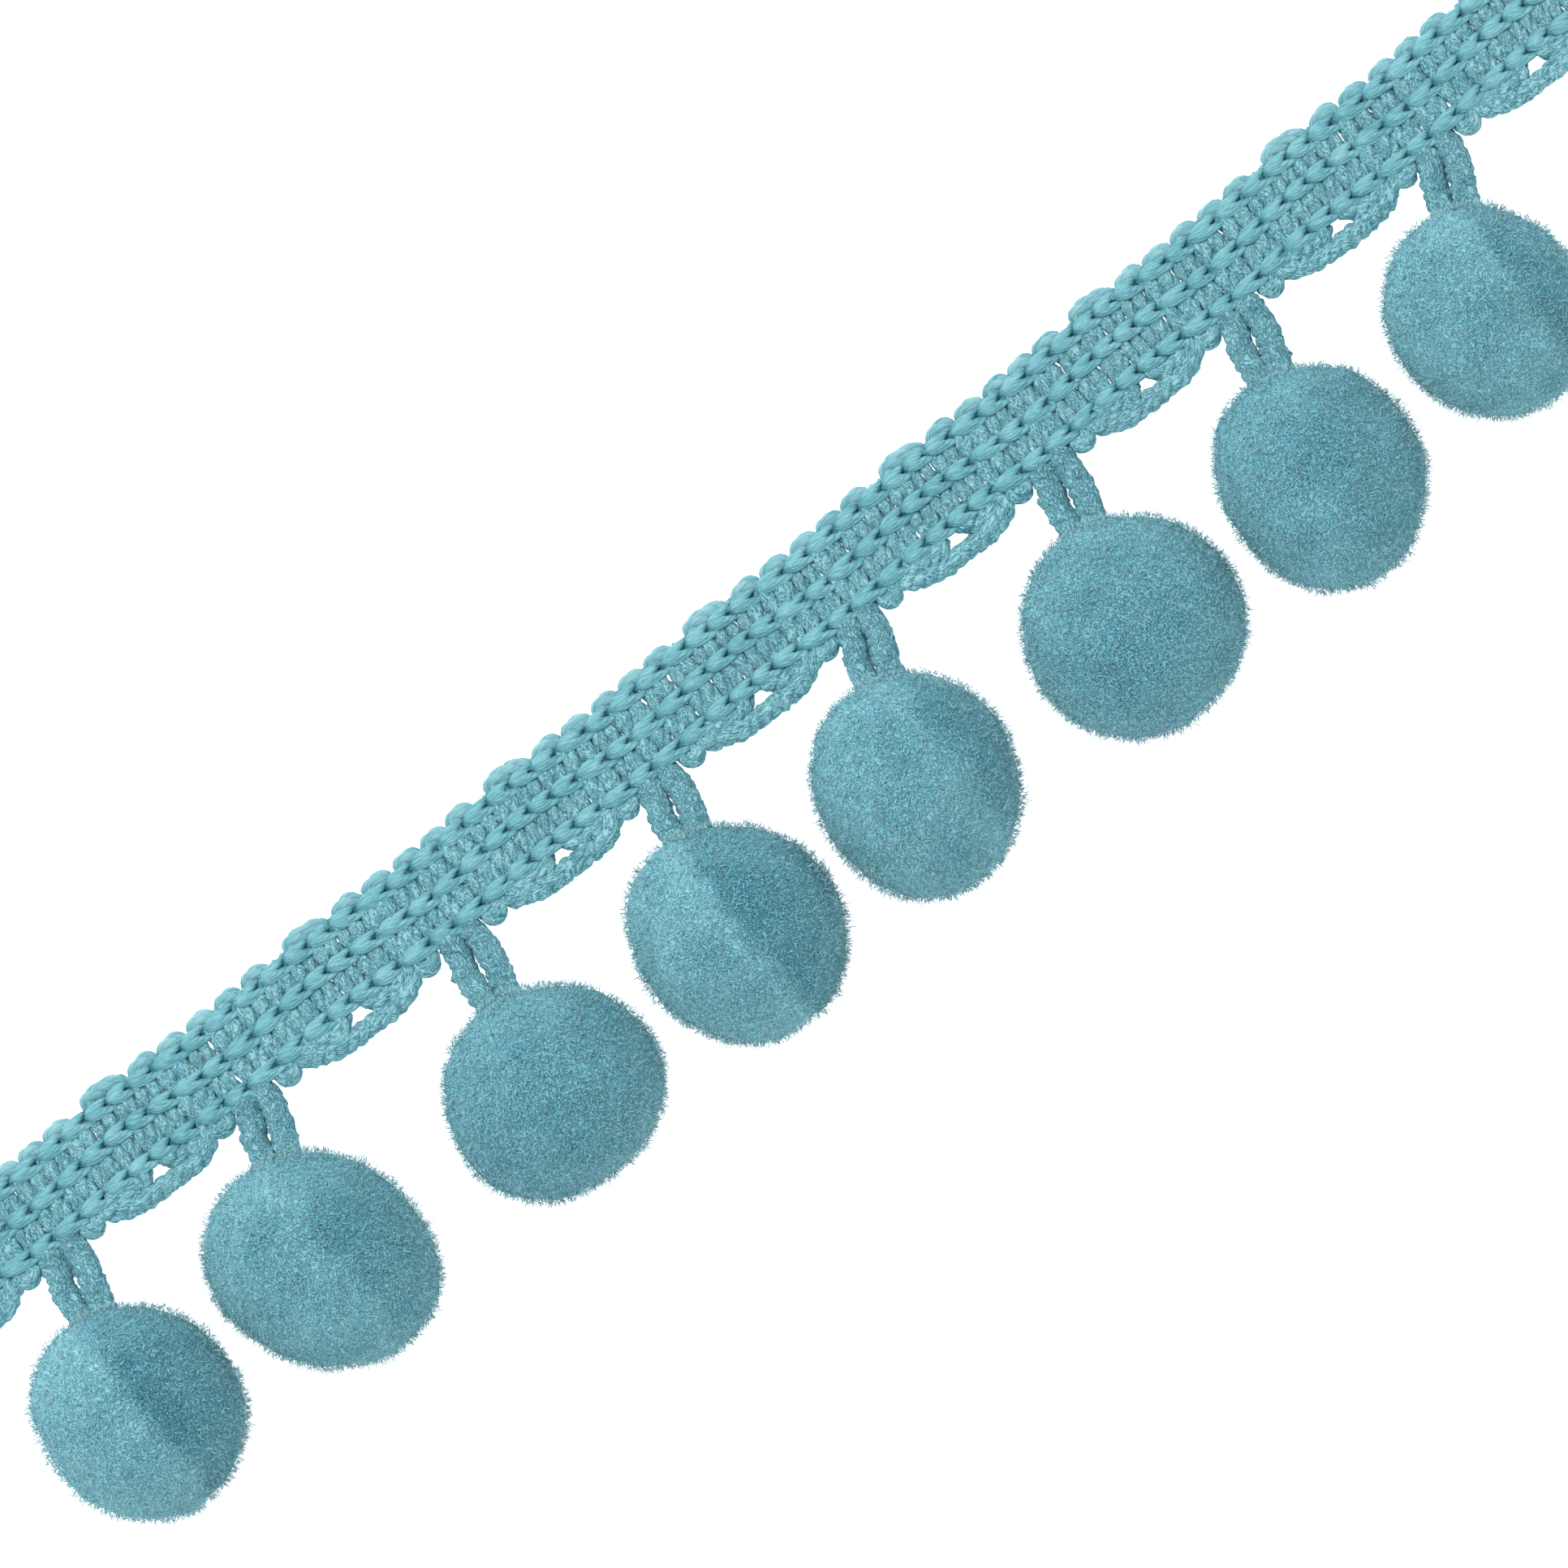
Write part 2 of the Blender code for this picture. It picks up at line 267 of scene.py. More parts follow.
def yarn_recipe() -> Recipe:
    """Build the tree that lays twisted plies of yarn along wire paths.

    Returns:
        The recipe. The wires carry "thickness" and "tone" on their points. The
        yarn carries "tone" and "fibre": the way along, and round as a unit circle.
    """
    recipe = new_recipe("laid_yarn")
    board = Board(recipe.tree)
    given = recipe.declare({
        "Step": "NodeSocketFloat",
        "Plies": "NodeSocketInt",
        "Ply Radius": "NodeSocketFloat",
        "Ply Offset": "NodeSocketFloat",
        "Twist Length": "NodeSocketFloat",
        "Sides": "NodeSocketInt",
        "Curl": "NodeSocketFloat",
        "Curl Size": "NodeSocketFloat",
        "Crimp": "NodeSocketFloat",
        "Crimp Size": "NodeSocketFloat",
        "Floor": "NodeSocketFloat",
        "End": "NodeSocketFloat",
        "Material": "NodeSocketMaterial",
    })
    to_curve = board.add("GeometryNodeMeshToCurve")
    board.feed(to_curve.inputs["Mesh"], given["Geometry"])
    smooth = board.add("GeometryNodeCurveSplineType", spline_type="CATMULL_ROM")
    board.feed(smooth.inputs["Curve"], to_curve.outputs["Curve"])
    resample = board.add("GeometryNodeResampleCurve", mode="LENGTH")
    board.feed(resample.inputs["Curve"], smooth.outputs["Curve"])
    board.feed(resample.inputs["Length"], given["Step"])
    copies = board.add("GeometryNodeDuplicateElements", domain="SPLINE")
    board.feed(copies.inputs["Geometry"], resample.outputs["Curve"])
    board.feed(copies.inputs["Amount"], given["Plies"])

    travelled = board.add("GeometryNodeSplineParameter").outputs["Length"]
    thickness = board.add("GeometryNodeInputNamedAttribute", data_type="FLOAT")
    thickness.inputs["Name"].default_value = "thickness"
    thickness = thickness.outputs["Attribute"]
    turns = board.math("DIVIDE", travelled, given["Twist Length"])
    share = board.math("DIVIDE", copies.outputs["Duplicate Index"], given["Plies"])
    angle = board.math("MULTIPLY", board.math("ADD", turns, share), math.tau)
    normal = board.add("GeometryNodeInputNormal").outputs["Normal"]
    tangent = board.add("GeometryNodeInputTangent").outputs["Tangent"]
    across = board.vector("CROSS_PRODUCT", tangent, normal)
    swing = board.vector(
        "ADD",
        board.scaled(normal, board.math("COSINE", angle)),
        board.scaled(across, board.math("SINE", angle)),
    )
    reach = board.math("MULTIPLY", thickness, given["Ply Offset"])
    spread = board.add("GeometryNodeSetPosition")
    board.feed(spread.inputs["Geometry"], copies.outputs["Geometry"])
    board.feed(spread.inputs["Offset"], board.scaled(swing, reach))
    ply = board.math("MULTIPLY", copies.outputs["Duplicate Index"], PLY_SHIFT)
    own_place = board.vector("ADD", point_place(board), board.scaled((MM, MM, MM), ply))
    wander = board.vector(
        "SUBTRACT", noise_at(board, own_place, given["Curl Size"]).outputs["Color"], (0.5, 0.5, 0.5)
    )
    curled = board.add("GeometryNodeSetPosition")
    board.feed(curled.inputs["Geometry"], spread.outputs["Geometry"])
    board.feed(curled.inputs["Offset"], board.scaled(wander, given["Curl"]))
    along = board.add("GeometryNodeCaptureAttribute", domain="POINT")
    along.capture_items.new("FLOAT", "Along")
    along.capture_items.new("FLOAT", "Turns")
    board.feed(along.inputs["Geometry"], curled.outputs["Geometry"])
    board.feed(along.inputs["Along"], board.math("MULTIPLY_ADD", ply, MM, travelled))
    board.feed(along.inputs["Turns"], board.math("MULTIPLY", turns, math.tau))

    circle = board.add("GeometryNodeCurvePrimitiveCircle", mode="RADIUS")
    board.feed(circle.inputs["Resolution"], given["Sides"])
    circle.inputs["Radius"].default_value = 1.0
    round_way = board.add("GeometryNodeCaptureAttribute", domain="POINT")
    round_way.capture_items.new("FLOAT", "Round")
    board.feed(round_way.inputs["Geometry"], circle.outputs["Curve"])
    factor = board.add("GeometryNodeSplineParameter").outputs["Factor"]
    board.feed(round_way.inputs["Round"], board.math("MULTIPLY", factor, math.tau))

    sweep = board.add("GeometryNodeCurveToMesh")
    board.feed(sweep.inputs["Curve"], along.outputs["Geometry"])
    board.feed(sweep.inputs["Profile Curve"], round_way.outputs["Geometry"])
    board.feed(sweep.inputs["Scale"], board.math("MULTIPLY", thickness, given["Ply Radius"]))
    sweep.inputs["Fill Caps"].default_value = True
    wound = board.math("ADD", round_way.outputs["Round"], along.outputs["Turns"])
    fibre = board.add("ShaderNodeCombineXYZ")
    board.feed(fibre.inputs["X"], along.outputs["Along"])
    board.feed(fibre.inputs["Y"], board.math("COSINE", wound))
    board.feed(fibre.inputs["Z"], board.math("SINE", wound))
    stored = board.add("GeometryNodeStoreNamedAttribute", data_type="FLOAT_VECTOR", domain="POINT")
    stored.inputs["Name"].default_value = "fibre"
    board.feed(stored.inputs["Geometry"], sweep.outputs["Mesh"])
    board.feed(stored.inputs["Value"], fibre.outputs["Vector"])

    noise = noise_at(board, point_place(board), given["Crimp Size"])
    push = board.math("MULTIPLY", board.math("SUBTRACT", noise.outputs[0], 0.5), given["Crimp"])
    crimped = board.add("GeometryNodeSetPosition")
    board.feed(crimped.inputs["Geometry"], stored.outputs["Geometry"])
    board.feed(crimped.inputs["Offset"], board.scaled(normal_of(board), push))
    settle(board, crimped.outputs["Geometry"], given)
    return recipe


def point_place(board: Board) -> bpy.types.NodeSocket:
    """Return the points' positions as a field."""
    return board.add("GeometryNodeInputPosition").outputs["Position"]


def noise_at(board: Board, vector: Value, size: Value) -> bpy.types.Node:
    """Add a soft noise.

    Args:
        board: The tree's board.
        vector: Its coordinates.
        size: How wide its lumps are.

    Returns:
        The noise's node.
    """
    noise = board.add("ShaderNodeTexNoise", noise_dimensions="3D")
    board.feed(noise.inputs["Vector"], vector)
    board.feed(noise.inputs["Scale"], board.math("DIVIDE", 1.0, size))
    noise.inputs["Detail"].default_value = 1.0
    return noise


def normal_of(board: Board) -> bpy.types.NodeSocket:
    """Return the surface's normal as a field."""
    return board.add("GeometryNodeInputNormal").outputs["Normal"]


def settle(
    board: Board, geometry: bpy.types.NodeSocket, given: dict[str, bpy.types.NodeSocket]
) -> None:
    """Trim a tree's result to the floor and the cut ends, dress it and put it out.

    Args:
        board: The tree's board.
        geometry: What the tree has made.
        given: The tree's inputs, with Floor, End and Material among them.
    """
    apart = board.add("ShaderNodeSeparateXYZ")
    board.feed(apart.inputs[0], point_place(board))
    joined = board.add("ShaderNodeCombineXYZ")
    left_end = board.math("MULTIPLY", given["End"], -1.0)
    past_left = board.math("MAXIMUM", apart.outputs["X"], left_end)
    board.feed(joined.inputs["X"], board.math("MINIMUM", past_left, given["End"]))
    board.feed(joined.inputs["Y"], apart.outputs["Y"])
    board.feed(joined.inputs["Z"], board.math("MAXIMUM", apart.outputs["Z"], given["Floor"]))
    trimmed = board.add("GeometryNodeSetPosition")
    board.feed(trimmed.inputs["Geometry"], geometry)
    board.feed(trimmed.inputs["Position"], joined.outputs["Vector"])
    realized = board.add("GeometryNodeRealizeInstances")
    board.feed(realized.inputs["Geometry"], trimmed.outputs["Geometry"])
    shaded = board.add("GeometryNodeSetShadeSmooth")
    board.feed(shaded.inputs["Geometry"], realized.outputs["Geometry"])
    finished = board.add("GeometryNodeSetMaterial")
    board.feed(finished.inputs["Geometry"], shaded.outputs["Geometry"])
    board.feed(finished.inputs["Material"], given["Material"])
    leave = board.add("NodeGroupOutput")
    board.feed(leave.inputs["Geometry"], finished.outputs["Geometry"])


def pile_recipe() -> Recipe:
    """Build the tree that stands short closed fibres on a surface and keeps the surface.

    Returns:
        The recipe. The fibres carry "rise", from 0 at the root to 1 at the tip, and
        "tone", one random number for each fibre. All of it carries "nap": painted light,
        or below zero painted shade, on each side of the pile's parting.
    """
    recipe = new_recipe("stood_pile")
    board = Board(recipe.tree)
    given = recipe.declare({
        "Density": "NodeSocketFloat",
        "Shortest": "NodeSocketFloat",
        "Longest": "NodeSocketFloat",
        "Width": "NodeSocketFloat",
        "Hook": "NodeSocketFloat",
        "Tufts": "NodeSocketFloat",
        "Tuft Size": "NodeSocketFloat",
        "Lean": "NodeSocketFloat",
        "Lean Size": "NodeSocketFloat",
        "Jitter": "NodeSocketFloat",
        "Swell": "NodeSocketFloat",
        "Swell Size": "NodeSocketFloat",
        "Parting X": "NodeSocketFloat",
        "Parting Strength": "NodeSocketFloat",
        "Seed": "NodeSocketInt",
        "Floor": "NodeSocketFloat",
        "End": "NodeSocketFloat",
        "Material": "NodeSocketMaterial",
    })
    ground = part_pile(board, given)
    roots = board.add("GeometryNodeDistributePointsOnFaces", distribute_method="RANDOM")
    board.feed(roots.inputs["Mesh"], ground)
    board.feed(roots.inputs["Density"], given["Density"])
    board.feed(roots.inputs["Seed"], given["Seed"])

    nap = noise_at(board, point_place(board), given["Lean Size"])
    lean = board.vector("SUBTRACT", nap.outputs["Color"], (0.5, 0.5, 0.5))
    scatter = board.add("FunctionNodeRandomValue", data_type="FLOAT_VECTOR")
    scatter.inputs["Min"].default_value = (-1.0, -1.0, -1.0)
    scatter.inputs["Max"].default_value = (1.0, 1.0, 1.0)
    board.feed(scatter.inputs["Seed"], given["Seed"])
    direction = board.vector(
        "ADD",
        board.vector("ADD", roots.outputs["Normal"], board.scaled(lean, given["Lean"])),
        board.scaled(scatter.outputs["Value"], given["Jitter"]),
    )
    stand_up = board.add("FunctionNodeAlignRotationToVector", axis="Z")
    board.feed(stand_up.inputs["Vector"], direction)
    roll = board.add("FunctionNodeAxisAngleToRotation")
    roll.inputs["Axis"].default_value = (0.0, 0.0, 1.0)
    board.feed(
        roll.inputs["Angle"],
        board.math("MULTIPLY", random_number(board, given["Seed"], 3), math.tau),
    )
    turn = board.add("FunctionNodeRotateRotation", rotation_space="LOCAL")
    board.feed(turn.inputs["Rotation"], stand_up.outputs["Rotation"])
    board.feed(turn.inputs["Rotate By"], roll.outputs["Rotation"])

    mostly_short = board.math("POWER", random_number(board, given["Seed"], 1), SHORT_BIAS)
    spare = board.math("SUBTRACT", given["Longest"], given["Shortest"])
    own_length = board.math("MULTIPLY_ADD", mostly_short, spare, given["Shortest"])
    tufts = noise_at(board, point_place(board), given["Tuft Size"])
    tufted = board.math("MULTIPLY_ADD", tufts.outputs[0], given["Tufts"], 1.0)
    levelled = board.math("MULTIPLY_ADD", given["Tufts"], -0.5, tufted)
    length = board.math("MULTIPLY", own_length, levelled)
    size = board.add("ShaderNodeCombineXYZ")
    board.feed(size.inputs["X"], given["Width"])
    board.feed(size.inputs["Y"], given["Width"])
    board.feed(size.inputs["Z"], length)
    toned = store(board, roots.outputs["Points"], "tone", random_number(board, given["Seed"], 2))
    stand = board.add("GeometryNodeInstanceOnPoints")
    board.feed(stand.inputs["Points"], toned)
    board.feed(stand.inputs["Instance"], hooked_fibre(board, given["Hook"]))
    board.feed(stand.inputs["Rotation"], turn.outputs["Rotation"])
    board.feed(stand.inputs["Scale"], size.outputs["Vector"])
    real = board.add("GeometryNodeRealizeInstances")
    board.feed(real.inputs["Geometry"], stand.outputs["Instances"])
    both = board.add("GeometryNodeJoinGeometry")
    board.feed(both.inputs["Geometry"], real.outputs["Geometry"])
    board.feed(both.inputs["Geometry"], ground)
    settle(board, both.outputs["Geometry"], given)
    return recipe


def hooked_fibre(board: Board, hook: Value) -> bpy.types.NodeSocket:
    """Return one closed fibre with "rise" on it, a unit high and bent over at its middle.

    Args:
        board: The tree's board.
        hook: How far the tip bends aside, in fibre widths.

    Returns:
        The fibre's mesh.
    """
    spindle = board.add("GeometryNodeMeshUVSphere")
    spindle.inputs["Segments"].default_value = 3
    spindle.inputs["Rings"].default_value = 2
    spindle.inputs["Radius"].default_value = 1.0
    place = board.add("ShaderNodeSeparateXYZ")
    board.feed(place.inputs[0], point_place(board))
    up = board.math("MULTIPLY_ADD", place.outputs["Z"], 0.5, 0.5)
    bent_over = board.math("MULTIPLY", board.math("POWER", up, FIBRE_BEND), hook)
    height = board.math("MULTIPLY", board.math("POWER", up, FIBRE_TAPER), FIBRE_HEIGHT)
    shape = board.add("ShaderNodeCombineXYZ")
    board.feed(shape.inputs["X"], board.math("ADD", place.outputs["X"], bent_over))
    board.feed(shape.inputs["Y"], place.outputs["Y"])
    board.feed(shape.inputs["Z"], height)
    bent = board.add("GeometryNodeSetPosition")
    board.feed(bent.inputs["Geometry"], store(board, spindle.outputs["Mesh"], "rise", up))
    board.feed(bent.inputs["Position"], shape.outputs["Vector"])
    return bent.outputs["Geometry"]


def random_number(board: Board, seed: Value, salt: int) -> bpy.types.NodeSocket:
    """Draw a number from 0 to 1 for each point.

    Args:
        board: The tree's board.
        seed: The tree's seed.
        salt: Added to the seed, so that each use has numbers of its own.

    Returns:
        The number as a field.
    """
    node = board.add("FunctionNodeRandomValue", data_type="FLOAT")
    board.feed(node.inputs["Seed"], board.math("ADD", seed, float(salt)))
    return next(s for s in node.outputs if s.identifier == "Value_001")


def store(
    board: Board, geometry: bpy.types.NodeSocket, name: str, value: Value
) -> bpy.types.NodeSocket:
    """Store a number on the points of a geometry.

    Args:
        board: The tree's board.
        geometry: What carries the number.
        name: The attribute's name.
        value: The number.

    Returns:
        The geometry.
    """
    node = board.add("GeometryNodeStoreNamedAttribute", data_type="FLOAT", domain="POINT")
    node.inputs["Name"].default_value = name
    board.feed(node.inputs["Geometry"], geometry)
    board.feed(node.inputs["Value"], value)
    return node.outputs["Geometry"]


@dataclass(frozen=True)
class PartingForm:
    """How a parting in the pile wanders and sinks, and where the painted light and shade lie on its
    two sides.
    """

    wander: float = 1.5 * MM
    wander_size: float = 7.0 * MM
    edge: float = 0.7 * MM
    side_shade: float = -0.5
    lit_place: float = -1.0 * MM
    lit_width: float = 1.1 * MM
    lit_shade: float = 0.45
    dim_place: float = 0.9 * MM
    dim_width: float = 1.4 * MM
    dim_shade: float = -0.40
    crease_width: float = 0.55 * MM
    crease_depth: float = 0.35 * MM


def part_pile(board: Board, given: dict[str, bpy.types.NodeSocket]) -> bpy.types.NodeSocket:
    """Swell the pile's ground unevenly and part it along a wandering line.

    Args:
        board: The tree's board.
        given: The tree's inputs.

    Returns:
        The ground, with "nap" on its points: painted light and shade beside the parting.
    """
    form = PartingForm()
    place = point_place(board)
    apart = board.add("ShaderNodeSeparateXYZ")
    board.feed(apart.inputs[0], place)
    wander = noise_at(board, place, form.wander_size)
    wandered = board.math("MULTIPLY_ADD", wander.outputs[0], 2.0 * form.wander, -form.wander)
    line = board.math("ADD", given["Parting X"], wandered)
    past = board.math("SUBTRACT", apart.outputs["X"], line)

    def hump(shift: float, width: float) -> bpy.types.NodeSocket:
        """Shade a band beside the parting.

        Args:
            shift: How far beside the parting its middle lies.
            width: Over what distance it fades.

        Returns:
            1 on its middle line, falling to 0.
        """
        offset = board.math("DIVIDE", board.math("SUBTRACT", past, shift), width)
        squared = board.math("MULTIPLY", offset, offset)
        return board.math("EXPONENT", board.math("MULTIPLY", squared, -1.0))

    side = board.math("TANH", board.math("DIVIDE", past, form.edge))
    shade = blend(
        board,
        (side, form.side_shade),
        (hump(form.lit_place, form.lit_width), form.lit_shade),
        (hump(form.dim_place, form.dim_width), form.dim_shade),
    )
    # nap: painted light on one side of the parting and painted shade on the other, for the way each
    # side of the parted pile catches the light
    nap = board.math("MULTIPLY", shade, given["Parting Strength"])
    crease = board.math("MULTIPLY", hump(0.0, form.crease_width), given["Parting Strength"])
    lumps = noise_at(board, place, given["Swell Size"])
    swell = board.math("MULTIPLY", board.math("SUBTRACT", lumps.outputs[0], 0.5), given["Swell"])
    rise = board.math("MULTIPLY_ADD", crease, -form.crease_depth, swell)
    moved = board.add("GeometryNodeSetPosition")
    board.feed(moved.inputs["Geometry"], store(board, given["Geometry"], "nap", nap))
    board.feed(moved.inputs["Offset"], board.scaled(normal_of(board), rise))
    return moved.outputs["Geometry"]


def shader_group(name: str, inputs: Sequence[str], outputs: Sequence[str]) -> bpy.types.NodeTree:
    """Start a shader node group.

    Args:
        name: The group's name.
        inputs: Its number inputs, next to its Vector input.
        outputs: Its number outputs.

    Returns:
        The group, with no nodes yet.
    """
    tree = bpy.data.node_groups.new(name, "ShaderNodeTree")
    tree.interface.new_socket("Vector", in_out="INPUT", socket_type="NodeSocketVector")
    for label in inputs:
        tree.interface.new_socket(label, in_out="INPUT", socket_type="NodeSocketFloat")
    for label in outputs:
        tree.interface.new_socket(label, in_out="OUTPUT", socket_type="NodeSocketFloat")
    return tree


def noise_group(name: str) -> bpy.types.NodeTree:
    """Build the group that makes a coarse and a fine unevenness from one coordinate.

    Args:
        name: The group's name.

    Returns:
        The group, with inputs Vector, Coarse Size, Fine Size and outputs Coarse, Fine.
    """
    tree = shader_group(name, ("Coarse Size", "Fine Size"), ("Coarse", "Fine"))
    board = Board(tree)
    entry = tree.nodes.new("NodeGroupInput")
    leave = tree.nodes.new("NodeGroupOutput")
    for label in ("Coarse", "Fine"):
        noise = board.add("ShaderNodeTexNoise", noise_dimensions="3D")
        board.feed(noise.inputs["Vector"], entry.outputs["Vector"])
        board.feed(noise.inputs["Scale"], board.math("DIVIDE", 1.0, entry.outputs[label + " Size"]))
        noise.inputs["Detail"].default_value = 2.0
        board.feed(leave.inputs[label], noise.outputs[0])
    return tree


def curl_group(name: str) -> bpy.types.NodeTree:
    """Build the group that draws curled fibres: fine looping lines over one another.

    Args:
        name: The group's name.

    Returns:
        The group, with inputs Vector, Size, Turns and the output Lines.
    """
    tree = shader_group(name, ("Size", "Turns"), ("Lines",))
    board = Board(tree)
    entry = tree.nodes.new("NodeGroupInput")
    leave = tree.nodes.new("NodeGroupOutput")
    layers = []
    for shift in CURL_SHIFTS:
        moved = board.vector("ADD", entry.outputs["Vector"], shift)
        noise = noise_at(board, moved, entry.outputs["Size"])
        turned = board.math("MULTIPLY", noise.outputs[0], entry.outputs["Turns"])
        wave = board.math("SINE", board.math("MULTIPLY", turned, math.tau))
        ridge = board.math("MULTIPLY_ADD", wave, 0.5, 0.5)
        layers.append(board.math("POWER", ridge, CURL_SHARPNESS))
    board.feed(leave.inputs["Lines"], board.math("MAXIMUM", layers[0], layers[1]))
    return tree


@dataclass(frozen=True)
class Groups:
    """The shader groups that the finishes share."""

    unevenness: bpy.types.NodeTree
    curls: bpy.types.NodeTree


@dataclass(frozen=True)
class Finish:
    """A yarn finish: three tones and how the fibres catch the light."""

    name: str
    dark: Colour
    middle: Colour
    light: Colour
    roughness: float
    sheen: float
    bump: float
    bump_depth: float
    sheen_roughness: float = 0.6
    specular: float = 0.1

    def shader(self, board: Board) -> bpy.types.Node:
        """Add the Principled BSDF with this finish's fixed values, joined to the output.

        Args:
            board: The material's board.

        Returns:
            The shader's node.
        """
        output = board.add("ShaderNodeOutputMaterial")
        principled = board.add("ShaderNodeBsdfPrincipled")
        principled.inputs["Metallic"].default_value = 0.0
        principled.inputs["Roughness"].default_value = self.roughness
        principled.inputs["Sheen Weight"].default_value = self.sheen
        principled.inputs["Sheen Roughness"].default_value = self.sheen_roughness
        principled.inputs["Sheen Tint"].default_value = (*self.light, 1.0)
        principled.inputs["Specular IOR Level"].default_value = self.specular
        board.feed(output.inputs["Surface"], principled.outputs["BSDF"])
        return principled

    def tones(self, board: Board, factor: Value) -> bpy.types.NodeSocket:
        """Turn a factor into one of this finish's tones.

        Args:
            board: The material's board.
            factor: From 0, dark, to 1, light.

        Returns:
            The colour.
        """
        ramp = board.add("ShaderNodeValToRGB")
        stops = ramp.color_ramp.elements
        stops[0].position = TONE_STOPS[0]
        stops[0].color = (*self.dark, 1.0)
        stops[1].position = TONE_STOPS[2]
        stops[1].color = (*self.light, 1.0)
        middle = stops.new(TONE_STOPS[1])
        middle.color = (*self.middle, 1.0)
        board.feed(ramp.inputs["Fac"], factor)
        return ramp.outputs["Color"]

    def relief(self, board: Board, height: Value, principled: bpy.types.Node) -> None:
        """Feed a bump of this finish's depth into the shader's normal.

        Args:
            board: The material's board.
            height: The relief, from 0 to about 1.
            principled: The shader.
        """
        bump = board.add("ShaderNodeBump")
        bump.inputs["Strength"].default_value = self.bump
        bump.inputs["Distance"].default_value = self.bump_depth
        board.feed(bump.inputs["Height"], height)
        board.feed(principled.inputs["Normal"], bump.outputs["Normal"])


def blank_material(name: str) -> tuple[bpy.types.Material, Board]:
    """Start a material.

    Args:
        name: Its name.

    Returns:
        The material, with an empty node tree, and its board.
    """
    material = bpy.data.materials.new(name)
    material.use_nodes = True
    material.node_tree.nodes.clear()
    return material, Board(material.node_tree)


def attribute(board: Board, name: str, output: str) -> bpy.types.NodeSocket:
    """Return a named attribute of the piece as a socket."""
    node = board.add("ShaderNodeAttribute", attribute_name=name)
    return node.outputs[output]


def object_place(board: Board) -> bpy.types.NodeSocket:
    """Return the object coordinates."""
    return board.add("ShaderNodeTexCoord").outputs["Object"]


def place_group(
    board: Board, group: bpy.types.NodeTree, vector: Value, **values: float
) -> bpy.types.Node:
    """Place a shared group in a material.

    Args:
        board: The material's board.
        group: The group.
        vector: Its coordinates.
        values: Its other inputs; an underscore stands for a space.

    Returns:
        The group's node.
    """
    node = board.add("ShaderNodeGroup", node_tree=group)
    board.feed(node.inputs["Vector"], vector)
    for label, value in values.items():
        node.inputs[label.replace("_", " ")].default_value = value
    return node


@dataclass(frozen=True)
class SatinYarn(Finish):
    """Smooth filament yarn, streaked along its length, with painted shade where it dives thin into
    the notches.
    """

    full_thickness: float = 0.29 * MM
    streak_along: float = 2.4 * MM
    streak_turns: float = 1.5
    streak_sizes: tuple[float, float] = (1.4, 0.62)
    patch_sizes: tuple[float, float] = (4.0 * MM, 1.2 * MM)
    streak_share: float = 0.75
    patch_share: float = 0.20
    strand_share: float = 0.06
    # painted shade: thinner, diving bundle ends get a darker tone that stands for the shade in the
    # notches
    notch_shade_depth: float = 0.45
    notch_shade_level: float = 0.95

    def material(self, groups: Groups) -> bpy.types.Material:
        """Build the material, streaked by the yarn's own fibre coordinates.

        Args:
            groups: The shared shader groups.

        Returns:
            The material.
        """
        material, board = blank_material(self.name)
        principled = self.shader(board)
        stretched = board.vector(
            "MULTIPLY",
            attribute(board, "fibre", "Vector"),
            (1.0 / self.streak_along, self.streak_turns, self.streak_turns),
        )
        own = board.scaled(STRAND_SHIFT, attribute(board, "tone", "Fac"))
        streaks = place_group(
            board,
            groups.unevenness,
            board.vector("ADD", stretched, own),
            Coarse_Size=self.streak_sizes[0],
            Fine_Size=self.streak_sizes[1],
        )
        patches = place_group(
            board,
            groups.unevenness,
            object_place(board),
            Coarse_Size=self.patch_sizes[0],
            Fine_Size=self.patch_sizes[1],
        )
        tone = attribute(board, "tone", "Fac")
        fullness = board.math("DIVIDE", attribute(board, "thickness", "Fac"), self.full_thickness)
        mixed = blend(
            board,
            (streaks.outputs["Fine"], self.streak_share),
            (patches.outputs["Coarse"], self.patch_share),
            (tone, self.strand_share),
            # painted shade in the notches: the tone drops where the bundle thins as it dives
            (board.math("SUBTRACT", fullness, self.notch_shade_level), self.notch_shade_depth),
        )
        board.feed(principled.inputs["Base Color"], self.tones(board, mixed))
        height = blend(board, (streaks.outputs["Fine"], 1.0), (streaks.outputs["Coarse"], 0.5))
        self.relief(board, height, principled)
        return material


